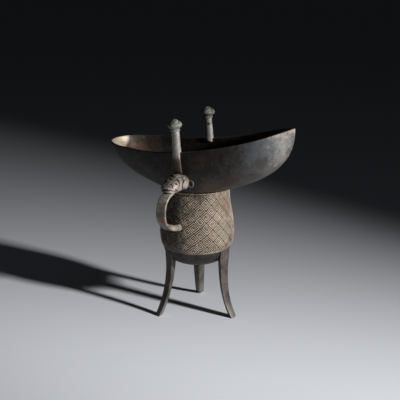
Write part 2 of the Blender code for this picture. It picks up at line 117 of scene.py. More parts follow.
# Strap and head: the strap's points give its reach out and its drop below the head
STRAP_LINE = (
    (0.0548, 0.0005), (0.0595, 0.0020), (0.0634, 0.0050), (0.0657, 0.0088),
    (0.0667, 0.0130), (0.0666, 0.0176), (0.0652, 0.0220), (0.0621, 0.0259),
    (0.0570, 0.0294), (0.0500, 0.0324), (0.0420, 0.0350),
)
STRAP_FOOT_DROP = 0.0367
STRAP_OUTER_REACH = 0.06848
STRAP_WIDTH = 0.0098
STRAP_THICKNESS = 0.0040
TONGUE_WIDTH = 0.0076
TONGUE_TIP_WIDTH = 0.0026
TONGUE_SWELL = 0.30
HEAD_LENGTH = 0.0280
HEAD_HALF_WIDTH = 0.0090
HEAD_HEIGHT = 0.0132
HEAD_BASE = UPPER_CORD_HEIGHT + 0.0052
HORN_RADIUS = 0.0041
EAR_HEIGHT = 0.0078
EAR_WIDTH = 0.0062

# Surface of the casting, where the solids have flat faces or sharp edges
LIP_ROUND = 0.0005
UNDER_BAND = 0.0008
FOOT_ROUND = 0.0010
FOOT_TRIM = 0.0005
LEG_EDGE_ROUND = 0.0009
LEG_ROOT_FLARE = 0.0012
POST_FACE_DRAFT = 0.0004
CAP_GROOVE = 0.00016

# Short upright strokes cut in the near wall: place along the wall, height, length
STROKES = (
    (-0.0271, 0.1492, 0.0024), (-0.0249, 0.1490, 0.0020), (-0.0227, 0.1491, 0.0026),
    (-0.0268, 0.1454, 0.0022), (-0.0246, 0.1456, 0.0026), (-0.0225, 0.1455, 0.0020),
    (-0.0189, 0.1423, 0.0032),
)
STROKES_MIDDLE = -0.0232
STROKES_REACH = 0.0090
STROKE_HALF_WIDTH = 0.00042
STROKE_DEPTH = 0.00035

# Relief of the band: lozenges run in two slanting directions, so many to a turn each way.
# Each lozenge is a map of square units, and each unit has two steps each way, for its bevel
CELLS_ONE_WAY = 21
CELLS_OTHER_WAY = 15
TURN_CELLS = CELLS_ONE_WAY + CELLS_OTHER_WAY
LATTICE_SPAN = range(-80, 120)
LOZENGE_HEIGHT = 0.0112
LATTICE_HEIGHT = 0.0770
LATTICE_TURN = -0.2455
CELL_UNITS = 10
CELL_STEPS = 2 * CELL_UNITS
BEVEL_SHARE = 0.20
RELIEF_DEPTH = 0.00055
CORNER_PIT = 1.3
BAND_BACK_DEPTH = 0.0014

# Ox head, in mm from the cup's axis: out to the right side, toward the muzzle, upward
EYE_PLACE = (6.0, 50.3, 137.2)
NOSTRIL_PLACE = (4.6, 56.6, 136.0)
BROW_LINE = (
    (1.2, 47.1, 138.9), (3.4, 45.4, 139.4), (6.3, 46.3, 138.6), (7.9, 47.5, 136.6),
    (8.1, 48.6, 134.5),
)
HORN_LINE = (
    (0.8, 41.5, 140.5), (2.6, 39.6, 140.9), (5.0, 38.6, 140.6), (7.3, 38.4, 139.3),
    (8.8, 39.0, 136.9),
)
# Grooves of the nostril, the fold over it, the mouth, the muzzle's crease and the cheek:
# depth and half width in mm, then the line
HEAD_GROOVES = (
    (0.90, 0.50, ((2.0, 56.8, 136.0), (3.9, 57.3, 135.6), (5.6, 57.0, 134.8))),
    (0.75, 0.45, ((1.2, 53.6, 137.2), (3.0, 54.0, 136.9), (4.8, 55.0, 136.2),
                  (5.8, 56.0, 135.4))),
    (1.10, 0.50, ((0.0, 58.5, 132.0), (2.6, 58.4, 132.3), (5.0, 58.0, 132.5),
                  (6.6, 56.4, 131.8), (6.9, 53.2, 131.1))),
    (0.75, 0.45, ((6.5, 56.2, 134.2), (7.1, 54.0, 133.1), (7.6, 52.2, 131.8),
                  (7.8, 50.4, 129.9))),
    (1.15, 0.58, ((8.0, 39.0, 138.6), (8.7, 41.4, 137.4), (8.9, 43.1, 135.4),
                  (8.9, 43.7, 133.0), (8.7, 42.4, 130.4))),
)
# Sections as shares of the head: place along its length, width, low edge and high edge
HEAD_SECTIONS = (
    (-0.05, 0.95, 0.00, 0.93), (0.16, 1.00, 0.00, 0.98), (0.32, 1.00, 0.00, 1.00),
    (0.49, 0.95, 0.00, 0.91), (0.65, 0.87, 0.00, 0.80), (0.80, 0.80, 0.03, 0.70),
    (0.90, 0.72, 0.08, 0.63), (0.965, 0.55, 0.13, 0.56), (1.00, 0.28, 0.20, 0.49),
)

# The photograph's view, fitted to the cup's outline: a pixel is 0.93 mm at the cup's axis
VIEW_TURN = math.radians(27.5)
VIEW_PITCH = math.radians(16.7)
PIXEL = 0.00093
FOCAL_PIXELS = 975.34
FRAME_PIXELS = 400

MM = 0.001
X_WAY = np.array([1.0, 0.0, 0.0])
UPWARD = Vector((0.0, 0.0, 1.0))

# The cup's own upright axis: the solid ends at the tail's tip and at the strap's bend
low_corner, high_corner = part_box("wine_cup")
AXIS = np.array([high_corner[0] - TAIL_REACH, low_corner[1] + STRAP_OUTER_REACH, 0.0])


# Small sums

def smooth(share):
    share = np.clip(share, 0.0, 1.0)
    return share * share * (3.0 - 2.0 * share)


def mix(start, end, share):
    return start + (end - start) * share


def unit(vectors):
    return vectors / np.maximum(np.linalg.norm(vectors, axis=-1, keepdims=True), 1e-12)


def bump(distance, width):
    return np.exp(-((distance / width) ** 2))


def squared(values, power):
    """Cosines or sines drawn out toward a square; a power of 1 leaves them round."""
    return np.sign(values) * np.abs(values) ** power


def ring_turns(count):
    return np.linspace(0.0, 2 * math.pi, count + 1)[:-1]


def smooth_line(points, steps):
    """A curve through all the points, cut into even shares of their count."""
    points = np.asarray(points, float)
    place = np.linspace(0.0, len(points) - 1, steps + 1)
    i = np.minimum(place.astype(int), len(points) - 2)
    share = (place - i).reshape((-1,) + (1,) * (points.ndim - 1))
    before = points[np.maximum(i - 1, 0)]
    start, end = points[i], points[i + 1]
    after = points[np.minimum(i + 2, len(points) - 1)]
    return (
        start * (1 + 2 * share) * (1 - share) ** 2
        + end * (3 - 2 * share) * share ** 2
        + (end - before) / 2 * share * (1 - share) ** 2
        + (after - start) / 2 * (share - 1) * share ** 2
    )


# Waves that every uneven surface is made of, drawn once so that each run is the same
WAVE_COUNT = 24
random = np.random.default_rng(7)
WAVES = unit(random.normal(size=(WAVE_COUNT, 3)))
PHASES = random.uniform(0.0, 2 * math.pi, WAVE_COUNT)
PITCHES = np.exp(random.uniform(math.log(60.0), math.log(420.0), WAVE_COUNT))


def unevenness(points, first, last):
    """A smooth uneven field over space, about -1 to 1, for hand-made surfaces."""
    total = 0.0
    for k in range(first, last):
        total = total + np.sin(points @ WAVES[k] * PITCHES[k] + PHASES[k])
    return total / math.sqrt(last - first)


# Meshes from grids of points

def grid_faces(rows, count, start_pole, end_pole):
    """Quads between closed rings, and triangles or one face at each end."""
    base = np.arange(rows - 1)[:, None] * count
    i = np.arange(count)[None, :]
    j = (i + 1) % count
    quads = np.stack([base + i, base + j, base + count + j, base + count + i], -1)
    faces = quads.reshape(-1, 4).tolist()
    total = rows * count
    for row, pole in ((0, start_pole), (rows - 1, end_pole)):
        ring = [row * count + k for k in range(count)]
        if pole is None:
            faces.append(ring)
            continue
        faces += [[ring[k], ring[(k + 1) % count], total] for k in range(count)]
        total += 1
    return faces


def add_piece(name, mesh, material, sharp):
    """Hangs a finished mesh on the cup's one body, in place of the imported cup."""
    mesh.shade_smooth()
    mesh.set_sharp_from_angle(angle=math.radians(sharp))
    mesh.materials.append(material)
    piece = bpy.data.objects.new(name, mesh)
    bpy.context.scene.collection.objects.link(piece)
    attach(piece, "root")
    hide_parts("wine_cup")


def loft(name, rings, material, sharp, start_pole=None, end_pole=None, attributes=None):
    """A closed skin over rings of points, with marks on its points for the finish to read."""
    rings = np.asarray(rings)
    points = rings.reshape(-1, 3)
    poles = [pole for pole in (start_pole, end_pole) if pole is not None]
    if poles:
        points = np.vstack([points, poles])
    faces = grid_faces(rings.shape[0], rings.shape[1], start_pole, end_pole)
    mesh = bpy.data.meshes.new(name)
    mesh.from_pydata((points + AXIS).tolist(), [], faces)
    form = bmesh.new()
    form.from_mesh(mesh)
    bmesh.ops.recalc_face_normals(form, faces=form.faces)
    form.to_mesh(mesh)
    form.free()
    for key, values in (attributes or {}).items():
        values = np.asarray(values, np.float32).ravel()
        values = np.append(values, [values[0], values[-1]][: len(poles)]).astype(np.float32)
        mesh.attributes.new(key, "FLOAT", "POINT").data.foreach_set("value", values)
    add_piece(name, mesh, material, sharp)


def ring_normals(rings):
    """Outward directions over a grid of closed rings."""
    along = np.gradient(rings, axis=0)
    round_way = np.roll(rings, -1, axis=1) - np.roll(rings, 1, axis=1)
    normals = unit(np.cross(round_way, along))
    outward = rings - rings.mean(axis=1, keepdims=True)
    return normals * np.sign(np.sum(normals * outward, axis=(1, 2)).mean() or 1.0)


def roughen(rings, first_wave, depth, calm=1.0, sink=0.0):
    """The rings moved a little in and out, as on a casting finished by hand."""
    uneven = unevenness(rings.reshape(-1, 3), first_wave, WAVE_COUNT)
    uneven = uneven.reshape(rings.shape[:2] + (1,))
    return rings + ring_normals(rings) * (uneven * calm * depth - sink)


# Outline of the cup

def rim_half_width(x):
    x = np.asarray(x, float)
    tail = BOWL_HALF_WIDTH * (1.0 - (np.clip(x, 0.0, TAIL_REACH) / TAIL_REACH) ** TAIL_FULLNESS)
    along = (-x - SPOUT_TAPER_START) / (SPOUT_REACH - SPOUT_TAPER_START)
    width = mix(BOWL_HALF_WIDTH, SPOUT_END_HALF_WIDTH, smooth(along))
    into_end = np.clip((-x - SPOUT_REACH + SPOUT_END_HALF_WIDTH) / SPOUT_END_HALF_WIDTH, 0.0, 1.0)
    return np.where(x >= 0.0, tail, width * np.sqrt(1.0 - into_end ** 2))


def rim_height(x):
    along = np.maximum(np.asarray(x, float) - RIM_RISE_START, 0.0) / (TAIL_REACH - RIM_RISE_START)
    return SPOUT_RIM_HEIGHT + (TAIL_TIP_HEIGHT - SPOUT_RIM_HEIGHT) * along ** RIM_RISE_POWER


def rim_plan(far_count, near_count):
    """The outer rim as a ring of plan points, from the tail's tip round by the far side.
    They lie closer together on the near side where strokes are cut in the wall."""
    samples, run_weight, crowding = 6000, 0.6, 3.5
    middle = (TAIL_REACH - SPOUT_REACH) / 2
    half = (TAIL_REACH + SPOUT_REACH) / 2
    xs = middle + half * np.cos(np.linspace(0.0, math.pi, samples))
    ys = rim_half_width(xs)
    run = np.concatenate([[0.0], np.cumsum(np.hypot(np.diff(xs), np.diff(ys)))])
    turned = np.arctan2(ys, xs) / math.pi
    spread = run_weight * run / run[-1] + (1.0 - run_weight) * turned
    steps = np.linspace(0.0, 1.0, far_count + 1)
    far = np.stack([np.interp(steps, spread, xs), np.interp(steps, spread, ys)], -1)
    weight = 1.0 + crowding * bump(xs - STROKES_MIDDLE, STROKES_REACH)
    dense = np.concatenate([[0.0], np.cumsum(np.diff(spread) * weight[1:])])
    dense = dense / dense[-1]
    steps = np.linspace(0.0, 1.0, near_count + 1)[1:-1][::-1]
    near = np.stack([np.interp(steps, dense, xs), -np.interp(steps, dense, ys)], -1)
    return np.vstack([far, near])


def inset_plan(plan, inset):
    """The same ring of plan points, each moved inward so that its edges keep their gap."""
    back = unit(plan - np.roll(plan, 1, axis=0))
    ahead = unit(np.roll(plan, -1, axis=0) - plan)
    first = np.stack([back[:, 1], -back[:, 0]], -1)
    second = np.stack([ahead[:, 1], -ahead[:, 0]], -1)
    shift = (first + second) / (1.0 + np.sum(first * second, axis=1, keepdims=True))
    return plan - shift * inset


def belly_radius(height):
    depth = LOWER_CORD_HEIGHT - BELLY_BOTTOM_HEIGHT
    drop = np.clip((LOWER_CORD_HEIGHT - height) / depth, 0.0, 1.0)
    return LOWER_BAND_RADIUS * (1.0 - drop ** BELLY_FULLNESS) ** (1.0 / BELLY_FULLNESS)


def band_radius(height):
    height = np.asarray(height, float)
    drop = np.clip((WIDEST_HEIGHT - height) / (WIDEST_HEIGHT - LOWER_CORD_HEIGHT), 0.0, 1.0)
    low = mix(LOWER_BAND_RADIUS, WIDEST_RADIUS, np.sqrt(1.0 - drop ** 2))
    rise = np.clip((height - WIDEST_HEIGHT) / (NECK_HEIGHT - WIDEST_HEIGHT), 0.0, 1.0)
    high = mix(NECK_RADIUS, WIDEST_RADIUS, (1.0 + np.cos(math.pi * rise)) / 2)
    return np.where(height < WIDEST_HEIGHT, low, high)


def toward_ends(turns, values):
    """One value at the sides, drawn to others toward the tail and toward the spout."""
    at_side, at_tail, at_spout = values
    lean = np.cos(turns)
    return mix(at_side, np.where(lean > 0.0, at_tail, at_spout), lean * lean)


def bowl_ring(plan, turns, base_radius, base_height, level):
    """A ring between the round neck, at level 0, and the boat-shaped rim, at level 1."""
    swing = math.pi / 2 * level
    out = math.sin(swing) ** (2.0 / toward_ends(turns, KEEL_POWERS))
    up = 1.0 - max(math.cos(swing), 0.0) ** (2.0 / toward_ends(turns, UPSWEEPS))
    return np.stack(
        [
            mix(base_radius * np.cos(turns), plan[:, 0], out),
            mix(base_radius * np.sin(turns), plan[:, 1], out),
            mix(base_height, rim_height(plan[:, 0]) - LIP_ROUND, up),
        ],
        -1,
    )


def round_ring(turns, radius, height):
    return np.stack([radius * np.cos(turns), radius * np.sin(turns), turns * 0.0 + height], -1)


def stroke_mask(points):
    """Where the short strokes are cut in the near wall, 0 to 1. They aren't letters."""
    x, y, z = points[..., 0], points[..., 1], points[..., 2]
    mask = np.zeros_like(x)
    for x_middle, z_middle, tall in STROKES:
        across = bump(x - x_middle, STROKE_HALF_WIDTH)
        mask = np.maximum(mask, across * smooth(1.5 - np.abs(z - z_middle) / (0.5 * tall)))
    return mask * (y < 0.0)


def make_shell(material):
    """The hollow vessel, ring by ring from under the belly up the outside, over a soft squared
    lip and down the inside. Behind the band it is sunk a little. Its marks are "inside" on the
    inner skin, "relief" in the strokes, and "cord" where the cords are rubbed pale and where
    the lip from the posts to the tail is rubbed pale with a painted highlight on it."""
    plan = rim_plan(180, 240)
    turns = np.arctan2(plan[:, 1], plan[:, 0])
    inner_plan = inset_plan(plan, WALL)
    depth = LOWER_CORD_HEIGHT - BELLY_BOTTOM_HEIGHT
    belly_swings = np.linspace(0.0, math.pi / 2, 16)[1:-1]
    cord_count = np.arange(10)
    cord_swings = np.linspace(-math.pi / 2, math.pi / 2, len(cord_count))
    rings, inside, rubbed = [], [], []

    def add_ring(ring, within, wear_and_highlight=0.0):
        rings.append(ring)
        inside.append(within + 0.0 * turns)
        rubbed.append(wear_and_highlight + 0.0 * turns)

    def add_cord(height, radius, stand, rubs):
        for swing, wear_and_highlight in zip(cord_swings, rubs):
            out = radius + stand * np.cos(swing)
            add_ring(round_ring(turns, out, height + CORD_HALF_HEIGHT * np.sin(swing)), 0.0, wear_and_highlight)

    for swing in belly_swings:
        height = LOWER_CORD_HEIGHT - depth * math.cos(swing) ** (2.0 / BELLY_FULLNESS)
        add_ring(round_ring(turns, belly_radius(height), height), 0.0)
    add_cord(LOWER_CORD_HEIGHT, LOWER_BAND_RADIUS, LOWER_CORD_STAND, smooth(cord_count / 4.0))
    for height in np.linspace(LOWER_CORD_HEIGHT + MM, UPPER_CORD_HEIGHT - MM, 6):
        add_ring(round_ring(turns, band_radius(height) - UNDER_BAND, height), 0.0)
    add_cord(UPPER_CORD_HEIGHT, NECK_RADIUS, UPPER_CORD_STAND, smooth((8.0 - cord_count) / 3.0))
    base = UPPER_CORD_HEIGHT + CORD_HALF_HEIGHT + 0.2 * MM
    for level in np.linspace(0.0, 1.0, 84):
        ring = bowl_ring(plan, turns, BOWL_BASE_RADIUS, base, level)
        ring[:, 1] += STROKE_DEPTH * stroke_mask(ring)
        add_ring(ring, 0.0)
    shoulder = rim_height(mix(inner_plan, plan, 0.5)[:, 0]) - LIP_ROUND
    for swing in np.linspace(0.0, math.pi, 11)[1:-1]:
        across = math.copysign(abs(math.cos(swing)) ** 0.6, math.cos(swing))
        flat = mix(inner_plan, plan, (1.0 + across) / 2)
        ring = np.column_stack([flat, shoulder + LIP_ROUND * math.sin(swing) ** 0.6])
        # The lip from the posts to the tail: rubbed pale, with a painted highlight along it
        past_posts = smooth((flat[:, 0] + 0.006) / 0.010)
        add_ring(ring, 0.5 - 0.5 * math.cos(swing), 0.75 * math.sin(swing) * past_posts)
    base = UPPER_CORD_HEIGHT + CORD_HALF_HEIGHT + WALL
    for level in np.linspace(1.0, 0.0, 40):
        add_ring(bowl_ring(inner_plan, turns, BOWL_BASE_RADIUS - WALL, base, level), 1.0)
    for height in np.linspace(UPPER_CORD_HEIGHT - CORD_HALF_HEIGHT, LOWER_CORD_HEIGHT, 12):
        add_ring(round_ring(turns, band_radius(height) - WALL, height), 1.0)
    depth -= BELLY_FLOOR
    for swing in belly_swings:
        height = LOWER_CORD_HEIGHT - depth * math.sin(swing) ** (2.0 / BELLY_FULLNESS)
        radius = (LOWER_BAND_RADIUS - WALL) * math.cos(swing) ** (2.0 / BELLY_FULLNESS)
        add_ring(round_ring(turns, radius, height), 1.0)

    rings, inside = np.array(rings), np.array(inside)
    calm = smooth(np.abs(rings[..., 2:] - rim_height(rings[..., :1])) / 0.004)
    uneven = unevenness(rings.reshape(-1, 3), 0, 14).reshape(rings.shape[:2] + (1,))
    outward = unit(rings * np.array([1.0, 1.0, 0.0]))
    rings = rings + outward * (uneven * calm * 0.07 * MM)
    strokes = stroke_mask(rings) * (inside == 0.0) * (rings[..., 2] > UPPER_CORD_HEIGHT)
    loft(
        "cup_shell",
        rings,
        material,
        50.0,
        (0.0, 0.0, BELLY_BOTTOM_HEIGHT),
        (0.0, 0.0, BELLY_BOTTOM_HEIGHT + BELLY_FLOOR),
        {"inside": inside, "relief": strokes, "cord": np.array(rubbed)},
    )


# The patterned band

def spiral_cell(mirrored):
    """One lozenge as a small square map of sunk depths: a squared spiral about a dot.
    The line between lozenges is sunk most, above all where four of them meet."""
    n = CELL_UNITS
    raised = np.zeros((n, n))
    for inset in (1, 3):
        far = n - inset
        raised[inset : far + 1, [inset, far]] = 1.0
        raised[[inset, far], inset : far + 1] = 1.0
    raised[1, 2] = 0.0
    raised[2, 3] = 1.0
    raised[3, 4] = 0.0
    raised[n // 2, n // 2] = 1.0
    sunk = 0.8 * (1.0 - raised)
    sunk[0, :] = sunk[:, 0] = 1.0
    sunk[0, 0] = CORNER_PIT
    return sunk.T if mirrored else sunk


def lattice_place(p, q):
    """Turn and height of a place counted in lozenges along the two slanting directions."""
    turns = 2 * math.pi * ((p + q) / TURN_CELLS + LATTICE_TURN)
    rise = (CELLS_OTHER_WAY * p - CELLS_ONE_WAY * q) / TURN_CELLS
    return turns, LATTICE_HEIGHT + LOZENGE_HEIGHT * rise


def lattice_cells(low, high):
    """The lozenges of one turn that reach between two heights."""
    cells = []
    for i in LATTICE_SPAN:
        for j in LATTICE_SPAN:
            if not 0 <= i + j < TURN_CELLS:
                continue
            heights = [lattice_place(p, q)[1] for p in (i, i + 1) for q in (j, j + 1)]
            if max(heights) > low and min(heights) < high:
                cells.append((i, j))
    return np.array(cells)


def lattice_squares(cells):
    """The small squares of all the lozenges: four corners each, and the corners' places in
    steps. A corner that two squares share, also across the turn's end, is one point."""
    row, shift = 200000, 50000
    a, b = np.meshgrid(np.arange(CELL_STEPS), np.arange(CELL_STEPS), indexing="ij")
    start_p = (cells[:, 0, None, None] * CELL_STEPS + a).ravel()
    start_q = (cells[:, 1, None, None] * CELL_STEPS + b).ravel()
    keys = []
    for dp, dq in ((0, 0), (1, 0), (1, 1), (0, 1)):
        p, q = start_p + dp, start_q + dq
        full_turns = np.floor_divide(p + q, TURN_CELLS * CELL_STEPS)
        p = p - full_turns * CELLS_ONE_WAY * CELL_STEPS
        q = q - full_turns * CELLS_OTHER_WAY * CELL_STEPS
        keys.append((p + shift) * row + (q + shift))
    keys = np.stack(keys, -1)
    unique, index = np.unique(keys, return_inverse=True)
    return index.reshape(keys.shape), unique // row - shift, unique % row - shift


def bevel_place(steps):
    """Steps counted in lozenges, each unit's two steps drawn to its ends for a steep bevel."""
    return (steps // 2 + np.where(steps % 2 == 0, BEVEL_SHARE, 1.0 - BEVEL_SHARE)) / CELL_UNITS


def make_band(material):
    """The relief follows the lozenges' own slanting lines, so its edges stay crisp. Toward
    the tail it is rubbed shallower, and its border is turned back onto the wall."""
    low = LOWER_CORD_HEIGHT + 0.5 * MM
    high = UPPER_CORD_HEIGHT - 0.4 * MM
    faces, p, q = lattice_squares(lattice_cells(low, high))
    turns, height = lattice_place(bevel_place(p), bevel_place(q))
    maps = np.stack([spiral_cell(False), spiral_cell(True)])
    sunk = maps[(p // CELL_STEPS) % 2, (p // 2) % CELL_UNITS, (q // 2) % CELL_UNITS]
    on_wall = round_ring(turns, 0.033, height)
    worn = smooth(0.55 + 0.5 * unevenness(on_wall, 0, 10))
    rubbed = smooth((np.cos(turns + 0.30) - 0.55) / 0.5) * worn
    sunk = np.where(sunk < CORNER_PIT, sunk * (1.0 - 0.35 * rubbed), sunk)
    uneven = unevenness(on_wall, 8, WAVE_COUNT) * 0.03 * MM
    radius = band_radius(height) + 0.1 * MM - sunk * RELIEF_DEPTH + uneven
    mesh = bpy.data.meshes.new("band")
    mesh.from_pydata(round_ring(turns, radius, height).tolist(), [], faces.tolist())
    layer = mesh.attributes.new("relief", "FLOAT", "POINT")
    layer.data.foreach_set("value", sunk.astype(np.float32))
    form = bmesh.new()
    form.from_mesh(mesh)
    for edge_height, direction in ((low, -1.0), (high, 1.0)):
        bmesh.ops.bisect_plane(
            form,
            geom=form.verts[:] + form.edges[:] + form.faces[:],
            dist=1e-7,
            plane_co=(0.0, 0.0, edge_height),
            plane_no=(0.0, 0.0, direction),
            clear_outer=True,
        )
    bmesh.ops.dissolve_degenerate(form, dist=2e-6, edges=form.edges[:])
    border = [edge for edge in form.edges if edge.is_boundary]
    for item in bmesh.ops.extrude_edge_only(form, edges=border)["geom"]:
        if isinstance(item, bmesh.types.BMVert):
            shrink = 1.0 - BAND_BACK_DEPTH / math.hypot(item.co.x, item.co.y)
            item.co.x *= shrink
            item.co.y *= shrink
    bmesh.ops.bridge_loops(form, edges=[edge for edge in form.edges if edge.is_boundary])
    bmesh.ops.recalc_face_normals(form, faces=form.faces)
    bmesh.ops.translate(form, verts=form.verts, vec=AXIS)
    form.to_mesh(mesh)
    form.free()
    add_piece("patterned_band", mesh, material, 48.0)


# Legs

def rounded_polygon(corners, radius):
    """The same polygon with each corner turned into an arc, always with the same count."""
    arc_steps, edge_steps, most = 4, 3, 0.45
    corners = np.asarray(corners, float)
    points = []
    for i, corner in enumerate(corners):
        next_corner = corners[(i + 1) % len(corners)]
        back = corners[i - 1] - corner
        ahead = next_corner - corner
        after = corners[(i + 2) % len(corners)] - next_corner
        length = np.linalg.norm(ahead)
        reach = min(radius, most * np.linalg.norm(back), most * length)
        next_reach = min(radius, most * length, most * np.linalg.norm(after))
        start = corner + unit(back) * reach
        end = corner + unit(ahead) * reach
        for share in np.linspace(0.0, 1.0, arc_steps + 1):
            arc = start * (1 - share) ** 2 + corner * 2 * share * (1 - share) + end * share ** 2
            points.append(arc)
        for share in np.linspace(0.0, 1.0, edge_steps + 1)[1:-1]:
            points.append(mix(end, next_corner - unit(ahead) * next_reach, share))
    return np.array(points)


def make_leg(name, degrees, stand, sweep, material):
    """A five-sided blade, crowned outside and narrow inside, that swings out to its foot."""
    turn = math.radians(degrees) + LEG_TURN
    outward = np.array([math.cos(turn), math.sin(turn), 0.0])
    sideways = np.array([-math.sin(turn), math.cos(turn), 0.0])
    top_radius = LOWER_BAND_RADIUS + stand
    nudge = 0.01

    def outer_face(down):
        swing_out = (FOOT_OUTER_RADIUS - top_radius) * max(down, 0.0) ** sweep
        return top_radius + swing_out - LEG_WAIST * math.sin(math.pi * down)

    heights = np.linspace(LOWER_CORD_HEIGHT, FOOT_ROUND, 60)
    rings = []
    for height in np.append(heights, [0.6 * FOOT_ROUND, 0.3 * FOOT_ROUND, 0.1 * FOOT_ROUND, 0.0]):
        down = 1.0 - height / LOWER_CORD_HEIGHT
        slope = outer_face(down + nudge) - outer_face(down - nudge)
        slope = slope / (2 * nudge * LOWER_CORD_HEIGHT)
        rise = min(height / FOOT_ROUND, 1.0)
        trim = FOOT_TRIM * (1.0 - math.sqrt(rise * (2.0 - rise)))
        radius = outer_face(down) - trim
        half = mix(FOOT_WIDTH, LEG_TOP_WIDTH, (1.0 - down) ** 0.8) / 2 - trim
        if height < LOWER_CORD_HEIGHT:
            half += LEG_ROOT_FLARE * bump(height - LOWER_CORD_HEIGHT + 0.008, 0.006)
        depth = mix(FOOT_DEPTH, LEG_TOP_DEPTH, (1.0 - down) ** 2)
        depth = depth * math.sqrt(1.0 + slope ** 2) - 2 * trim
        section = rounded_polygon(
            (
                (0.0, -half),
                (LEG_FACE_CROWN, 0.0),
                (0.0, half),
                (-depth, LEG_RIDGE_HALF_WIDTH),
                (-depth, -LEG_RIDGE_HALF_WIDTH),
            ),
            LEG_EDGE_ROUND,
        )
        ring = outward * (radius + section[:, :1]) + sideways * section[:, 1:]
        rings.append(ring + np.array([0.0, 0.0, height]))
    rings = np.array(rings)
    rings = roughen(rings, 6, 0.05 * MM, smooth(rings[..., 2:] / 0.004), 0.03 * MM)
    loft(name, rings, material, 50.0)


# Posts and caps

def post_section(side, shift, height, width, inner, outer):
    """A section between a square and a circle, from its inner to its outer face."""
    turns = ring_turns(56)
    across = squared(np.cos(turns), 0.85)
    deep = squared(np.sin(turns), 0.85)
    y = mix(inner, outer, 0.5) + (outer - inner) / 2 * deep
    return np.column_stack(
        [POST_SHIFT + shift + width / 2 * across, side * y, np.full(len(turns), height)]
    )


def make_post(name, side, material):
    """A rib on the wall that rises past the rim as a post and leans toward the spout."""
    rim = float(rim_height(POST_SHIFT))
    wall_width = float(rim_half_width(POST_SHIFT))
    collar_bottom = rim + POST_RISE - CAP_CONE_HEIGHT - CAP_UNDERSIDE_HEIGHT - COLLAR_HEIGHT
    bottom = rim - RIB_DROP

    def wall_face(height):
        rise = min(max((height - UPPER_CORD_HEIGHT) / (rim - UPPER_CORD_HEIGHT), 0.0), 1.0)
        return mix(BOWL_BASE_RADIUS, wall_width, math.sin(math.acos(1.0 - rise)))

    table = [
        (bottom, RIB_FOOT_WIDTH, -0.0008),
        (bottom + 0.10 * RIB_DROP, 0.96 * RIB_FOOT_WIDTH, 0.45 * RIB_STAND),
        (bottom + 0.30 * RIB_DROP, 0.86 * RIB_FOOT_WIDTH, 0.85 * RIB_STAND),
        (bottom + 0.60 * RIB_DROP, mix(RIB_FOOT_WIDTH, POST_FOOT_WIDTH, 0.7), RIB_STAND),
        (rim - ROOT_DROP, POST_FOOT_WIDTH, RIB_STAND),
    ]
    rings = []
    for height, width, stand in smooth_line(table, 36):
        outer = wall_face(height) + stand
        rings.append(post_section(side, 0.0, height, width, wall_face(height) - WALL / 2, outer))
    outer = wall_width + RIB_STAND
    inner_wall = wall_width - WALL / 2
    post_inner = outer - POST_DEPTH
    root = rim - ROOT_DROP
    for share in np.linspace(0.0, 1.0, 12)[1:]:
        height = mix(root, rim - ROOT_DROP / 3, share)
        inner = mix(inner_wall, post_inner, math.sin(math.pi / 2 * share) ** 0.7)
        rings.append(post_section(side, 0.0, height, POST_FOOT_WIDTH, inner, outer))
    for share in np.linspace(0.0, 1.0, 40)[1:]:
        height = mix(rim - ROOT_DROP / 3, collar_bottom + COLLAR_HEIGHT / 2, share)
        lean = max(height - rim, 0.0) * math.tan(POST_LEAN)
        width = mix(POST_FOOT_WIDTH, POST_WIDTH, share)
        face = outer - POST_FACE_DRAFT * share
        rings.append(post_section(side, -lean, height, width, post_inner, face))
    loft(f"{name}_post", roughen(np.array(rings), 8, 0.07 * MM), material, 60.0)


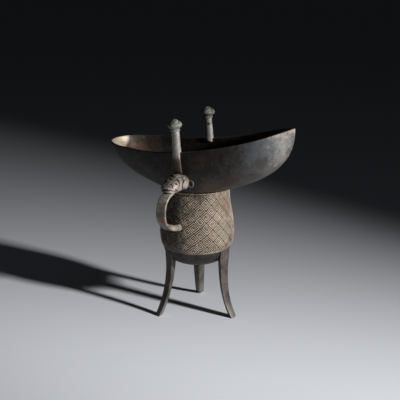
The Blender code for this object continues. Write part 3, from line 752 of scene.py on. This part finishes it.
def make_cap(name, side, material):
    """A cap like a low cone over a collar, with four whorled arms cut round its boss."""
    underside = CAP_CONE_HEIGHT + CAP_UNDERSIDE_HEIGHT
    base = underside + COLLAR_HEIGHT
    neck = mix(COLLAR_RADIUS, POST_WIDTH / 2, 0.6)
    table = [
        (0.10 * CAP_RADIUS, -0.05 * CAP_CONE_HEIGHT),
        (0.26 * CAP_RADIUS, -0.13 * CAP_CONE_HEIGHT),
        (0.50 * CAP_RADIUS, -0.33 * CAP_CONE_HEIGHT),
        (0.74 * CAP_RADIUS, -0.57 * CAP_CONE_HEIGHT),
        (0.92 * CAP_RADIUS, -0.80 * CAP_CONE_HEIGHT),
        (1.00 * CAP_RADIUS, -1.02 * CAP_CONE_HEIGHT),
        (0.97 * CAP_RADIUS, -CAP_CONE_HEIGHT - 0.26 * CAP_UNDERSIDE_HEIGHT),
        (0.86 * CAP_RADIUS, -CAP_CONE_HEIGHT - 0.52 * CAP_UNDERSIDE_HEIGHT),
        (neck, -underside + 0.10 * CAP_UNDERSIDE_HEIGHT),
        (0.97 * neck, -underside - 0.02 * COLLAR_HEIGHT),
        (COLLAR_RADIUS, -underside - 0.22 * COLLAR_HEIGHT),
        (COLLAR_RADIUS, -underside - 0.66 * COLLAR_HEIGHT),
        (0.95 * neck, -underside - 0.92 * COLLAR_HEIGHT),
        (0.85 * neck, -base),
    ]
    profile = smooth_line(table, 91)
    turns = ring_turns(96)[None, :]
    out, down = profile[:, :1], profile[:, 1:]
    share = out / CAP_RADIUS
    on_cone = smooth((share - 0.22) / 0.10) * smooth((0.90 - share) / 0.10)
    on_cone = on_cone * (down > -0.95 * CAP_CONE_HEIGHT)
    arms = np.cos(4 * turns + 9.0 * share)
    ring_line = bump(share - 0.92, 0.035) * (down > -0.99 * CAP_CONE_HEIGHT)
    boss_line = bump(share - 0.20, 0.04)
    carved = on_cone * smooth((arms - 0.35) / 0.5) + 0.75 * (ring_line + boss_line)
    out = out - 0.4 * CAP_GROOVE * carved
    down = down - 0.05 * CAP_CONE_HEIGHT * bump(share, 0.14) - 0.8 * CAP_GROOVE * carved
    rings = np.stack([out * np.cos(turns), out * np.sin(turns), down], -1)
    tilt = np.array(Matrix.Rotation(-POST_LEAN, 3, "Y"))
    lean = POST_RISE * math.tan(POST_LEAN)
    middle = float(rim_half_width(POST_SHIFT)) + RIB_STAND - POST_DEPTH / 2
    height = float(rim_height(POST_SHIFT)) + POST_RISE
    place = np.array([POST_SHIFT - lean, side * middle, height])
    top = tilt @ np.array([0.0, 0.0, -0.07 * CAP_CONE_HEIGHT]) + place
    sunk = 0.7 * np.clip(carved, 0.0, 1.0)
    loft(f"{name}_cap", rings @ tilt.T + place, material, 60.0, tuple(top), None, {"relief": sunk})


# Strap

def make_strap(material):
    """The handle: it leaves the head's mouth, bends down and ends as a tongue on the wall."""
    start = (NECK_RADIUS + 0.7 * HEAD_LENGTH, -STRAP_THICKNESS / 6)
    foot_height = HEAD_BASE - STRAP_FOOT_DROP
    end = (float(band_radius(foot_height)) - WALL / 2, STRAP_FOOT_DROP)
    line = [(0.0, -reach, HEAD_BASE - drop) for reach, drop in (start, *STRAP_LINE, end)]
    path = smooth_line(line, 110)
    out = np.cross(X_WAY, unit(np.gradient(path, axis=0)))
    corners = (
        (1.0, -0.35), (0.90, 0.18), (0.62, 0.66), (0.24, 0.96), (-0.24, 0.96),
        (-0.62, 0.66), (-0.90, 0.18), (-1.0, -0.35), (-0.90, -0.92), (0.90, -0.92),
    )
    section = rounded_polygon(corners, 0.30)
    share = np.linspace(0.0, 1.0, len(path))
    width = mix(STRAP_WIDTH, TONGUE_WIDTH, smooth((share - 0.5) / 0.3))
    tip = np.clip((share - 0.82) / 0.18, 0.0, 1.0)
    width = mix(TONGUE_TIP_WIDTH, width, np.sqrt(1.0 - tip ** 2))
    thickness = STRAP_THICKNESS * (1.0 + TONGUE_SWELL * smooth((share - 0.62) / 0.18))
    rings = (
        path[:, None, :]
        + X_WAY * (width[:, None, None] / 2 * section[None, :, :1])
        + out[:, None, :] * (thickness[:, None, None] / 2 * section[None, :, 1:])
    )
    loft("handle_strap", roughen(rings, 8, 0.06 * MM), material, 60.0)


# Ox head

def along_path(points, path):
    """Each point's least distance to a line through the path's points."""
    best = np.full(len(points), 9.0)
    path = np.asarray(path, float)
    for start, end in zip(path[:-1], path[1:]):
        step = end - start
        share = np.clip((points - start) @ step / (step @ step), 0.0, 1.0)
        best = np.minimum(best, np.linalg.norm(points - start - share[:, None] * step, axis=1))
    return best


def make_head(material):
    """The ox's head, drawn as a plain muzzle first and then carved, the same on both sides.
    The eye and the grooves are measured with the sides squeezed together, so that they are
    cut into the cheeks at their full width."""
    turns = 2 * math.pi * (np.arange(168) + 0.5) / 168
    across = squared(np.cos(turns), 0.75)
    up = squared(np.sin(turns), 0.75)
    rings = []
    for along, wide, low, high in smooth_line(HEAD_SECTIONS, 104):
        middle = HEAD_BASE + HEAD_HEIGHT * (low + high) / 2
        tall = HEAD_HEIGHT * (high - low) / 2
        reach = np.full(len(turns), -NECK_RADIUS - HEAD_LENGTH * along)
        rings.append(np.column_stack([HEAD_HALF_WIDTH * wide * across, reach, middle + tall * up]))
    rings = np.array(rings)
    normals = ring_normals(rings).reshape(-1, 3)
    points = rings.reshape(-1, 3)
    folded = np.abs(points / MM)
    side, reach, height = folded[:, 0], folded[:, 1], folded[:, 2]
    squeeze = np.array([0.35, 1.0, 1.0])
    on_top = smooth((height - 132.5) / 2.0)
    from_eye = np.linalg.norm((folded - np.array(EYE_PLACE)) * squeeze, axis=1)
    lift = 0.40 * bump(from_eye, 1.9) - 1.90 * bump(from_eye, 0.82)
    from_brow = along_path(folded, smooth_line(BROW_LINE, 18))
    lift -= 1.05 * bump(from_brow, 0.62)
    lift += 0.40 * bump(from_brow - 1.5, 0.55) * smooth((47.2 - reach) / 1.5)
    from_horn = along_path(folded, smooth_line(HORN_LINE, 16))
    lift += 1.0 * bump(from_horn, 0.95) - 0.35 * bump(from_horn - 1.9, 0.4) * on_top
    for depth, width, places in HEAD_GROOVES:
        path = smooth_line(np.array(places) * squeeze, 14)
        lift -= depth * bump(along_path(folded * squeeze, path), width)
    lips = 0.60 * bump(height - 133.5, 0.55) + 0.45 * bump(height - 130.9, 0.60)
    lift += lips * smooth((reach - 52.5) / 2.5)
    lift += 0.35 * bump(np.linalg.norm(folded - np.array(NOSTRIL_PLACE), axis=1), 0.8)
    lozenge = side / 2.0 + np.abs(reach - 45.2) / 3.0
    lift += (0.35 * bump(lozenge - 0.95, 0.16) + 0.30 * bump(lozenge, 0.3)) * on_top
    nose = bump(side, 1.1) * smooth((reach - 47.0) / 2.0) * smooth((56.5 - reach) / 2.0)
    lift += 0.30 * nose * on_top
    for row in range(3):
        wrinkle = np.abs(reach - 50.6 - 1.7 * row - 0.10 * side ** 2)
        lift -= 0.22 * bump(wrinkle, 0.3) * on_top * smooth((3.2 - side) / 1.0)
    lift += 0.08 * unevenness(points, 10, WAVE_COUNT)
    sunk = np.clip(-lift / 0.4, 0.0, 1.0)
    rings = rings + (normals * (lift[:, None] * 0.9 * MM)).reshape(rings.shape)
    loft("ox_head", rings, material, 70.0, attributes={"relief": sunk})


def make_lump(name, centre, radii, shape, material):
    """A rounded form whose surface is moved in or out by a function of its unit point."""
    swing = np.linspace(0.0, math.pi, 42)[1:-1, None]
    turns = ring_turns(56)[None, :]
    level = np.cos(swing) + 0.0 * turns
    ball = np.stack([np.sin(swing) * np.cos(turns), np.sin(swing) * np.sin(turns), level], -1)
    lift, sunk = shape(ball)
    centre, radii = np.array(centre), np.array(radii)
    rings = centre + ball * radii + ball * lift[..., None]
    tip = np.array([0.0, 0.0, radii[2]])
    loft(name, rings, material, 70.0, tuple(centre + tip), tuple(centre - tip), {"relief": sunk})


def make_horns_and_ears(material):
    """A curled horn lies flat on each side of the head, and each ear stands on the wall."""
    for name, side in (("left", -1), ("right", 1)):

        def curl_shape(ball):
            """A curled groove on the outer face of the horn's disc."""
            out = np.hypot(ball[..., 1], ball[..., 2])
            turn = np.arctan2(ball[..., 2], -ball[..., 1])
            spiral = out - 0.78 + 0.16 * turn / math.pi
            groove = 0.35 * bump(spiral, 0.10) * smooth(side * ball[..., 0] / 0.3)
            return -0.42 * MM * groove, groove

        def ear_shape(ball):
            """A leaf with a hollow face and a raised rim."""
            out = np.hypot(ball[..., 0], ball[..., 2])
            hollow = smooth((0.84 - out) / 0.28) * smooth(-ball[..., 1] / 0.4)
            return -1.15 * MM * hollow, hollow

        horn = (
            side * 0.93 * HEAD_HALF_WIDTH,
            -(NECK_RADIUS + 0.26 * HEAD_LENGTH),
            HEAD_BASE + 0.42 * HEAD_HEIGHT,
        )
        radii = (0.45 * HORN_RADIUS, HORN_RADIUS, HORN_RADIUS)
        make_lump(f"{name}_horn", horn, radii, curl_shape, material)
        ear = (
            side * (HEAD_HALF_WIDTH + 0.22 * EAR_WIDTH),
            -(BOWL_BASE_RADIUS - 0.4 * MM),
            HEAD_BASE + 0.38 * HEAD_HEIGHT,
        )
        radii = (EAR_WIDTH / 2, 0.22 * EAR_WIDTH, EAR_HEIGHT / 2)
        make_lump(f"{name}_ear", ear, radii, ear_shape, material)


# Materials

RUST_RED = (0.155, 0.058, 0.032)
SPOT_GREEN = (0.13, 0.165, 0.105)
BARE_EDGE = (0.46, 0.40, 0.33)
SOIL_BLACK = (0.014, 0.011, 0.008)
ROOT_RED = (0.150, 0.085, 0.055)
# Painted shade on the ribs below the posts
ROOT_PAINTED_SHADE = (0.030, 0.024, 0.019)
FOOT_PALE = (0.190, 0.176, 0.155)

# Each finish: dark, middle and pale skins, then shares of pale, red and green, edge wear and
# dullness
FINISH_INPUTS = (
    "Dark", "Middle", "Pale", "Pale Share", "Red Share", "Green Share", "Edge Wear", "Dullness",
)
FINISHES = {
    "bronze_band": (
        (0.168, 0.129, 0.092), (0.243, 0.193, 0.145), (0.335, 0.280, 0.222),
        0.60, 0.14, 0.20, 0.20, 0.75,
    ),
    "bronze_legs": (
        (0.030, 0.026, 0.022), (0.054, 0.045, 0.037), (0.088, 0.079, 0.068),
        0.52, 0.14, 0.20, 0.50, 0.35,
    ),
    "bronze_posts": (
        (0.080, 0.075, 0.070), (0.155, 0.145, 0.138), (0.330, 0.316, 0.305),
        0.60, 0.12, 0.10, 0.50, 0.50,
    ),
    "bronze_caps": (
        (0.095, 0.097, 0.085), (0.155, 0.159, 0.141), (0.250, 0.254, 0.230),
        0.50, 0.05, 0.45, 0.40, 0.85,
    ),
    "bronze_head": (
        (0.085, 0.074, 0.064), (0.155, 0.138, 0.122), (0.250, 0.228, 0.205),
        0.58, 0.16, 0.12, 0.50, 0.45,
    ),
    "bronze_strap": (
        (0.080, 0.069, 0.058), (0.165, 0.147, 0.128), (0.300, 0.280, 0.250),
        0.56, 0.16, 0.12, 0.50, 0.40,
    ),
}

# Ragged patches on each finish, some of them painted shade, sheen and highlights: place in mm
# from the axis, reach in mm, colour, strength
SPOTS = {
    "bronze_band": (
        ((15.8, -25.6, 119.5), 6.5, (0.034, 0.024, 0.019), 0.80),
        ((22.3, -24.7, 93.8), 2.0, (0.260, 0.300, 0.245), 0.65),
        ((33.0, -9.0, 86.0), 14.0, (0.120, 0.122, 0.084), 0.45),
        ((9.0, -33.0, 106.0), 9.0, (0.075, 0.071, 0.045), 0.55),
        ((32.0, -1.0, 108.0), 12.0, (0.150, 0.085, 0.048), 0.55),
        # These two: painted shade over the band's left side, toward the handle, where the light
        # grazes
        ((-14.0, -30.0, 83.0), 25.0, (0.050, 0.038, 0.029), 0.72),
        ((-14.0, -30.0, 109.0), 25.0, (0.050, 0.038, 0.029), 0.72),
    ),
    "bronze_posts": (((-3.1, 29.3, 174.6), 1.8, (0.030, 0.026, 0.022), 0.90),),
    "bronze_head": (
        # These two: painted highlights on the snout's side and on the muzzle's front and lips
        ((6.0, -54.5, 136.0), 6.0, (0.380, 0.350, 0.315), 0.75),
        ((4.0, -58.0, 132.5), 4.5, (0.460, 0.430, 0.390), 0.75),
        # Painted shade at the back of the head, behind the horn, against the wall
        ((9.5, -34.5, 139.6), 4.0, (0.050, 0.043, 0.036), 0.80),
        ((-2.5, -58.5, 131.5), 2.2, (0.110, 0.140, 0.065), 0.60),
        # Painted shade at the back of the head, over the horn's right edge and the ear
        ((12.0, -32.5, 133.4), 4.6, (0.060, 0.046, 0.036), 0.80),
    ),
    "bronze_strap": (((1.7, -67.1, 106.2), 5.0, (0.210, 0.075, 0.040), 0.80),),
    "bronze_vessel": (
        # Painted blue-grey sheen on the tail
        ((72.9, -24.4, 168.6), 19.0, (0.078, 0.089, 0.101), 0.75),
        # Painted highlight on the tail
        ((79.5, -19.9, 171.5), 2.2, (0.200, 0.212, 0.225), 0.60),
        ((75.0, -9.0, 147.0), 7.5, (0.110, 0.122, 0.106), 0.50),
        ((86.6, -5.6, 158.9), 6.5, (0.190, 0.186, 0.175), 0.50),
        ((73.3, -20.5, 156.3), 10.0, (0.030, 0.026, 0.022), 0.70),
        ((82.0, -7.5, 153.0), 3.6, (0.240, 0.237, 0.222), 0.60),
        ((79.0, -12.5, 155.5), 2.6, (0.200, 0.200, 0.188), 0.55),
        ((88.5, -8.0, 166.0), 5.0, (0.260, 0.258, 0.245), 0.55),
        ((31.4, -25.4, 130.4), 15.0, (0.062, 0.044, 0.030), 0.60),
        ((-70.5, -24.3, 152.5), 3.0, (0.020, 0.030, 0.026), 0.85),
        ((-64.6, -24.4, 146.0), 3.6, (0.016, 0.020, 0.028), 0.85),
        ((-61.7, -27.2, 151.1), 5.0, (0.055, 0.022, 0.014), 0.75),
        ((-69.0, 18.8, 146.2), 5.0, (0.055, 0.022, 0.014), 0.80),
        ((-76.0, 14.6, 149.0), 4.2, (0.130, 0.060, 0.034), 0.75),
        ((-83.5, 6.5, 151.0), 3.4, (0.300, 0.180, 0.100), 0.60),
        ((47.6, 29.7, 166.7), 9.0, (0.105, 0.045, 0.028), 0.75),
        ((66.1, 25.6, 175.5), 8.0, (0.105, 0.045, 0.028), 0.75),
        ((-0.4, 29.2, 158.3), 3.6, (0.150, 0.045, 0.024), 0.85),
    ),
}

# The vessel's skins: on the bowl, the tail, the tail's tip, and the crust at the spout's end
VESSEL_SKINS = {
    "Dark": (
        (0.017, 0.015, 0.013), (0.038, 0.039, 0.040), (0.085, 0.085, 0.084), (0.15, 0.120, 0.088),
    ),
    "Middle": (
        (0.023, 0.021, 0.019), (0.050, 0.051, 0.052), (0.130, 0.129, 0.126), (0.22, 0.180, 0.135),
    ),
    "Pale": (
        (0.035, 0.032, 0.028), (0.076, 0.076, 0.075), (0.240, 0.237, 0.228), (0.42, 0.360, 0.290),
    ),
}
# Shares of the crust's colour: for the painted shadow inside the spout behind the crust, and for
# the pale cords and lip
SPOUT_SHADOW_SHARE = 0.075
ON_CORD_SHARE = 0.62


def put(tree, socket, value):
    """Feeds a socket from another one, or sets its own value."""
    if isinstance(value, bpy.types.NodeSocket):
        tree.links.new(value, socket)
    elif isinstance(value, tuple) and len(value) == 3 and socket.type == "RGBA":
        socket.default_value = (*value, 1.0)
    else:
        socket.default_value = value


def add_math(tree, operation, *values, clamp=False):
    made = tree.nodes.new("ShaderNodeMath")
    made.operation = operation
    made.use_clamp = clamp
    for socket, value in zip(made.inputs, values):
        put(tree, socket, value)
    return made.outputs[0]


def plus(tree, *values):
    total = values[0]
    for value in values[1:]:
        total = add_math(tree, "ADD", total, value)
    return total


def minus(tree, value, *others):
    for other in others:
        value = add_math(tree, "SUBTRACT", value, other)
    return value


def times(tree, *values):
    total = values[0]
    for value in values[1:]:
        total = add_math(tree, "MULTIPLY", total, value)
    return total


def add_noise(tree, place, scale, detail, roughness=0.55, distortion=0.0):
    made = tree.nodes.new("ShaderNodeTexNoise")
    names = ("Vector", "Scale", "Detail", "Roughness", "Distortion")
    for name, value in zip(names, (place, scale, detail, roughness, distortion)):
        put(tree, made.inputs[name], value)
    return made.outputs["Fac"]


def add_step(tree, value, low, high, start=0.0, end=1.0):
    made = tree.nodes.new("ShaderNodeMapRange")
    made.interpolation_type = "SMOOTHSTEP"
    for socket, number in zip(made.inputs, (value, low, high, start, end)):
        put(tree, socket, number)
    return made.outputs[0]


def add_mix(tree, factor, first, second, blend="MIX"):
    made = tree.nodes.new("ShaderNodeMix")
    made.data_type = "RGBA"
    made.blend_type = blend
    for number, value in ((0, factor), (6, first), (7, second)):
        put(tree, made.inputs[number], value)
    return made.outputs[2]


def add_mark(tree, name):
    made = tree.nodes.new("ShaderNodeAttribute")
    made.attribute_name = name
    return made.outputs["Fac"]


def object_place(tree):
    return tree.nodes.new("ShaderNodeTexCoord").outputs["Object"]


def patina_group():
    """Aged bronze: a dark skin, a worn paler one, rust-red and green spots, and soil."""
    tree = bpy.data.node_groups.new("bronze_patina", "ShaderNodeTree")
    face = tree.interface
    for name, kind, value in (
        ("Dark", "NodeSocketColor", (0.04, 0.035, 0.03, 1.0)),
        ("Middle", "NodeSocketColor", (0.10, 0.085, 0.07, 1.0)),
        ("Pale", "NodeSocketColor", (0.30, 0.26, 0.22, 1.0)),
        ("Pale Share", "NodeSocketFloat", 0.5),
        ("Red Share", "NodeSocketFloat", 0.1),
        ("Green Share", "NodeSocketFloat", 0.1),
        ("Soil", "NodeSocketFloat", 0.0),
        ("Edge Wear", "NodeSocketFloat", 0.5),
        ("Dullness", "NodeSocketFloat", 0.3),
    ):
        face.new_socket(name, in_out="INPUT", socket_type=kind).default_value = value
    for name, kind in (
        ("Color", "NodeSocketColor"),
        ("Roughness", "NodeSocketFloat"),
        ("Metallic", "NodeSocketFloat"),
        ("Height", "NodeSocketFloat"),
    ):
        face.new_socket(name, in_out="OUTPUT", socket_type=kind)
    given = tree.nodes.new("NodeGroupInput").outputs
    result = tree.nodes.new("NodeGroupOutput").inputs
    place = object_place(tree)
    shape = tree.nodes.new("ShaderNodeNewGeometry").outputs["Pointiness"]
    broad = add_noise(tree, place, 34.0, 3.0, 0.55, 0.6)
    blotch = add_noise(tree, place, 120.0, 6.0, 0.62, 0.9)
    grain = add_noise(tree, place, 620.0, 5.0, 0.65)
    fine = add_noise(tree, place, 1700.0, 3.0, 0.6)

    # Skins and spots
    colour = add_mix(tree, add_step(tree, blotch, 0.36, 0.64), given["Dark"], given["Middle"])
    mingled = plus(tree, times(tree, broad, 0.45), times(tree, blotch, 0.55))
    mingled = plus(tree, mingled, times(tree, minus(tree, given["Pale Share"], 0.5), 0.7))
    pale = add_step(tree, plus(tree, mingled, times(tree, grain, 0.12)), 0.44, 0.72)
    colour = add_mix(tree, pale, colour, given["Pale"])
    red_spots = add_step(tree, add_noise(tree, place, 75.0, 5.0, 0.6, 0.5), 0.44, 0.62)
    colour = add_mix(tree, times(tree, red_spots, given["Red Share"]), colour, RUST_RED)
    green_spots = add_step(tree, add_noise(tree, place, 210.0, 4.0, 0.55, 0.3), 0.60, 0.70)
    green = times(tree, green_spots, given["Green Share"])
    colour = add_mix(tree, green, colour, SPOT_GREEN)

    # Bare metal on sharp edges, and soil in hollows and carved lines
    edge = times(tree, add_step(tree, shape, 0.515, 0.60), given["Edge Wear"])
    edge = times(tree, edge, add_step(tree, grain, 0.30, 0.60))
    colour = add_mix(tree, edge, colour, BARE_EDGE)
    hollow = times(tree, add_step(tree, shape, 0.490, 0.42), 0.6)
    soil = add_math(tree, "MAXIMUM", times(tree, given["Soil"], 0.96), hollow)
    colour = add_mix(tree, soil, colour, SOIL_BLACK)
    speckle = add_step(tree, grain, 0.25, 0.75, 0.80, 1.20)
    grey = tree.nodes.new("ShaderNodeCombineColor")
    for socket in grey.inputs:
        put(tree, socket, speckle)
    put(tree, result["Color"], add_mix(tree, 1.0, colour, grey.outputs[0], "MULTIPLY"))

    # Gloss, metal and fine surface
    rough = plus(tree, times(tree, blotch, 0.26), times(tree, grain, 0.20))
    rough = plus(tree, rough, plus(tree, times(tree, given["Dullness"], 0.34), 0.20))
    rough = plus(tree, rough, times(tree, soil, 0.30))
    rough = add_math(tree, "SUBTRACT", rough, times(tree, edge, 0.14), clamp=True)
    put(tree, result["Roughness"], rough)
    metal = minus(tree, 0.60, times(tree, given["Dullness"], 0.50), times(tree, pale, 0.25))
    metal = minus(tree, metal, times(tree, soil, 0.45), times(tree, green, 0.4))
    metal = add_math(tree, "ADD", metal, times(tree, edge, 0.35), clamp=True)
    put(tree, result["Metallic"], metal)
    pits = add_step(tree, add_noise(tree, place, 800.0, 2.0, 0.5), 0.27, 0.38)
    height = plus(tree, times(tree, blotch, 0.45), times(tree, grain, 0.35))
    height = plus(tree, height, times(tree, fine, 0.12), times(tree, pits, 0.16))
    put(tree, result["Height"], height)
    return tree


def add_zone(tree, place, axis, low, high, raggedness=1.0):
    """Masks a side of the cup: 0 before the low place on that axis, 1 after the high one."""
    parts = tree.nodes.new("ShaderNodeSeparateXYZ")
    tree.links.new(place, parts.inputs[0])
    uneven = minus(tree, add_noise(tree, place, 260.0, 4.0, 0.6), 0.5)
    value = plus(tree, parts.outputs[axis], times(tree, uneven, 0.008 * raggedness))
    return add_step(tree, value, low + float(AXIS[axis]), high + float(AXIS[axis]))


def add_spots(tree, colour, place, spots, clear=1.0):
    """Lays ragged patches of another colour round chosen places, where the form is clear."""
    uneven = minus(tree, add_noise(tree, place, 330.0, 5.0, 0.65), 0.5)
    for centre, radius, tint, strength in spots:
        gap = tree.nodes.new("ShaderNodeVectorMath")
        gap.operation = "DISTANCE"
        tree.links.new(place, gap.inputs[0])
        gap.inputs[1].default_value = tuple(np.array(centre) * MM + AXIS)
        reach = radius * MM
        ragged = plus(tree, gap.outputs["Value"], times(tree, uneven, 2.2 * reach))
        mask = times(tree, add_step(tree, ragged, 0.4 * reach, reach, 1.0, 0.0), strength, clear)
        colour = add_mix(tree, mask, colour, tint)
    return colour


def start_material(name, group):
    """A material with the patina's gloss, metal and fine surface, still without its colour."""
    material = bpy.data.materials.new(name)
    material.use_nodes = True
    tree = material.node_tree
    shader = tree.nodes["Principled BSDF"]
    patina = tree.nodes.new("ShaderNodeGroup")
    patina.node_tree = group
    for key in ("Roughness", "Metallic"):
        tree.links.new(patina.outputs[key], shader.inputs[key])
    relief = tree.nodes.new("ShaderNodeBump")
    relief.inputs["Strength"].default_value = 0.55
    relief.inputs["Distance"].default_value = 0.35 * MM
    tree.links.new(patina.outputs["Height"], relief.inputs["Height"])
    tree.links.new(relief.outputs["Normal"], shader.inputs["Normal"])
    return material, tree, shader, patina


def add_soil(tree, patina):
    """Darkens the carved lines, and puts out how clear of them each place is."""
    soil = add_step(tree, add_mark(tree, "relief"), 0.10, 0.75)
    tree.links.new(soil, patina.inputs["Soil"])
    return minus(tree, 1.0, times(tree, soil, 0.85))


def plain_patina(name, group, carved=False, root=None, foot=None):
    """A finish with one mix of patinas all over, soil in its carved lines and chosen patches.
    Below a root height it turns red-brown and then, with painted shade, as dark as the vessel's
    wall, and below a foot height it is rubbed paler."""
    material, tree, shader, patina = start_material(name, group)
    for key, value in zip(FINISH_INPUTS, FINISHES[name]):
        put(tree, patina.inputs[key], value)
    clear = add_soil(tree, patina) if carved else 1.0
    place = object_place(tree)
    colour = add_spots(tree, patina.outputs["Color"], place, SPOTS.get(name, ()), clear)
    if root:
        reddened = times(tree, add_zone(tree, place, 2, root + MM, root - 4 * MM), 0.8)
        # Painted shade: the rib below the post darkens to the wall's colour
        painted_rib_shade = times(tree, add_zone(tree, place, 2, root - 2 * MM, root - 7 * MM), 0.85)
        colour = add_mix(tree, reddened, colour, ROOT_RED)
        colour = add_mix(tree, painted_rib_shade, colour, ROOT_PAINTED_SHADE)
    if foot:
        rubbed = times(tree, add_zone(tree, place, 2, foot, 0.2 * foot), 0.65)
        colour = add_mix(tree, rubbed, colour, FOOT_PALE)
    tree.links.new(colour, shader.inputs["Base Color"])
    return material


def shell_patina(group):
    """The vessel's finish: dark bowl, blue-grey tail with a painted sheen and a painted highlight
    on it, a cream crust at the spout's end with painted shadow behind it, and pale cords and
    lip, the lip partly rubbed and partly a painted highlight.
    """
    material, tree, shader, patina = start_material("bronze_vessel", group)
    place = object_place(tree)
    inner = add_step(tree, add_mark(tree, "inside"), 0.4, 0.6)
    outer = minus(tree, 1.0, inner)
    tail = times(tree, add_zone(tree, place, 0, 0.036, 0.080), outer)
    high = add_zone(tree, place, 2, 0.140, 0.172)
    tip = times(tree, add_zone(tree, place, 0, 0.066, 0.090), high, outer)
    # The cream crust at the spout's end; its sharp edge is where the painted shadow beyond it
    # starts
    cream = times(tree, add_zone(tree, place, 0, -0.0802, -0.0830, 0.1), inner)
    # Painted shadow on the spout's inner wall behind the crust
    spout = times(tree, add_zone(tree, place, 0, -0.054, -0.080), inner)
    # The cords rubbed pale, and the lip rubbed pale with a painted highlight
    cords = add_mark(tree, "cord")
    for name, (on_bowl, on_tail, on_tip, in_cream) in VESSEL_SKINS.items():
        spout_shadow_colour = tuple(SPOUT_SHADOW_SHARE * value for value in in_cream)
        on_cord = tuple(ON_CORD_SHARE * value for value in in_cream)
        colour = add_mix(tree, tail, on_bowl, on_tail)
        colour = add_mix(tree, tip, colour, on_tip)
        colour = add_mix(tree, spout, colour, spout_shadow_colour)
        colour = add_mix(tree, cream, colour, in_cream)
        put(tree, patina.inputs[name], add_mix(tree, cords, colour, on_cord))
    share = plus(tree, times(tree, tail, 0.14), times(tree, spout, 0.25), 0.40)
    values = (share, 0.12, 0.20, 0.8, 0.2)
    for key, value in zip(FINISH_INPUTS[3:], values):
        put(tree, patina.inputs[key], value)
    add_soil(tree, patina)
    colour = add_spots(tree, patina.outputs["Color"], place, SPOTS["bronze_vessel"])
    tree.links.new(colour, shader.inputs["Base Color"])
    return material


# The cup

group = patina_group()
post_root = float(rim_height(POST_SHIFT)) - 1.5 * MM
leg_finish = plain_patina("bronze_legs", group, foot=0.020)
post_finish = plain_patina("bronze_posts", group, root=post_root)
cap_finish = plain_patina("bronze_caps", group, carved=True)
head_finish = plain_patina("bronze_head", group, carved=True)

make_shell(shell_patina(group))
make_band(plain_patina("bronze_band", group, carved=True))
for number, (degrees, stand, sweep) in enumerate(LEG_SETS, start=1):
    make_leg(f"leg_{number}", degrees, stand, sweep, leg_finish)
for name, side in (("near", -1), ("far", 1)):
    make_post(name, side, post_finish)
    make_cap(name, side, cap_finish)
make_strap(plain_patina("bronze_strap", group))
make_head(head_finish)
make_horns_and_ears(head_finish)


# Floor, light and camera

def make_floor():
    mesh = bpy.data.meshes.new("floor")
    reach = 9.0
    corners = [(x * reach, y * reach, 0.0) for x, y in ((-1, -1), (1, -1), (1, 1), (-1, 1))]
    mesh.from_pydata(corners, [], [(0, 1, 2, 3)])
    material = bpy.data.materials.new("floor_paper")
    material.use_nodes = True
    tree = material.node_tree
    shader = tree.nodes["Principled BSDF"]
    tone = add_noise(tree, object_place(tree), 3.0, 3.0)
    colour = add_mix(tree, tone, (0.66, 0.70, 0.775), (0.69, 0.73, 0.81))
    tree.links.new(colour, shader.inputs["Base Color"])
    shader.inputs["Roughness"].default_value = 0.75
    mesh.materials.append(material)
    floor = bpy.data.objects.new("floor", mesh)
    bpy.context.scene.collection.objects.link(floor)


def add_light(name, place, aim, size, power, colour, spread):
    lamp = bpy.data.lights.new(name, "AREA")
    lamp.shape = "RECTANGLE"
    lamp.size = lamp.size_y = size
    lamp.energy = power
    lamp.spread = math.radians(spread)
    lamp.color = colour
    made = bpy.data.objects.new(name, lamp)
    made.location = place
    made.rotation_euler = (aim - place).to_track_quat("-Z", "Y").to_euler()
    bpy.context.scene.collection.objects.link(made)


def make_lights(right, near):
    """One small lamp from the right and above, and very little light besides, as in the
    photograph."""
    cool = (0.90, 0.95, 1.0)
    aim = near * 0.14 + UPWARD * 0.08
    key = right * 1.01 + near * 0.65 + UPWARD * 0.545
    top = right * 0.5 + near * 0.5 + UPWARD * 1.3
    fill = -right * 0.7 + near * 1.3 + UPWARD * 0.6
    add_light("key", key, aim, 0.10, 1.85, (1.0, 0.97, 0.93), 44.0)
    add_light("top", top, aim, 1.2, 0.08, cool, 90.0)
    add_light("fill", fill, aim, 1.0, 0.035, cool, 90.0)
    world = bpy.data.worlds.new("studio")
    world.use_nodes = True
    background = world.node_tree.nodes["Background"].inputs
    background["Color"].default_value = (0.80, 0.84, 0.90, 1.0)
    background["Strength"].default_value = 0.008
    bpy.context.scene.world = world


def make_camera(right, near):
    """The photograph's view: its middle lies a little right of the axis and above the belly."""
    view = -near * math.cos(VIEW_PITCH) - UPWARD * math.sin(VIEW_PITCH)
    up = -near * math.sin(VIEW_PITCH) + UPWARD * math.cos(VIEW_PITCH)
    middle = Vector(AXIS) + right * (2.99 * PIXEL) + UPWARD * (116.28 * PIXEL)
    data = bpy.data.cameras.new("photo_view")
    data.sensor_width = 36.0
    data.lens = data.sensor_width * FOCAL_PIXELS / FRAME_PIXELS
    data.clip_start = 0.01
    camera = bpy.data.objects.new("photo_view", data)
    turned = Matrix((right, up, -view)).transposed().to_4x4()
    camera.matrix_world = Matrix.Translation(middle - view * (FOCAL_PIXELS * PIXEL)) @ turned
    bpy.context.scene.collection.objects.link(camera)
    bpy.context.scene.camera = camera


photo_right = Vector((math.cos(VIEW_TURN), math.sin(VIEW_TURN), 0.0))
photo_near = Vector((math.sin(VIEW_TURN), -math.cos(VIEW_TURN), 0.0))
make_floor()
make_lights(photo_right, photo_near)
make_camera(photo_right, photo_near)
bpy.context.scene.view_settings.view_transform = "Standard"
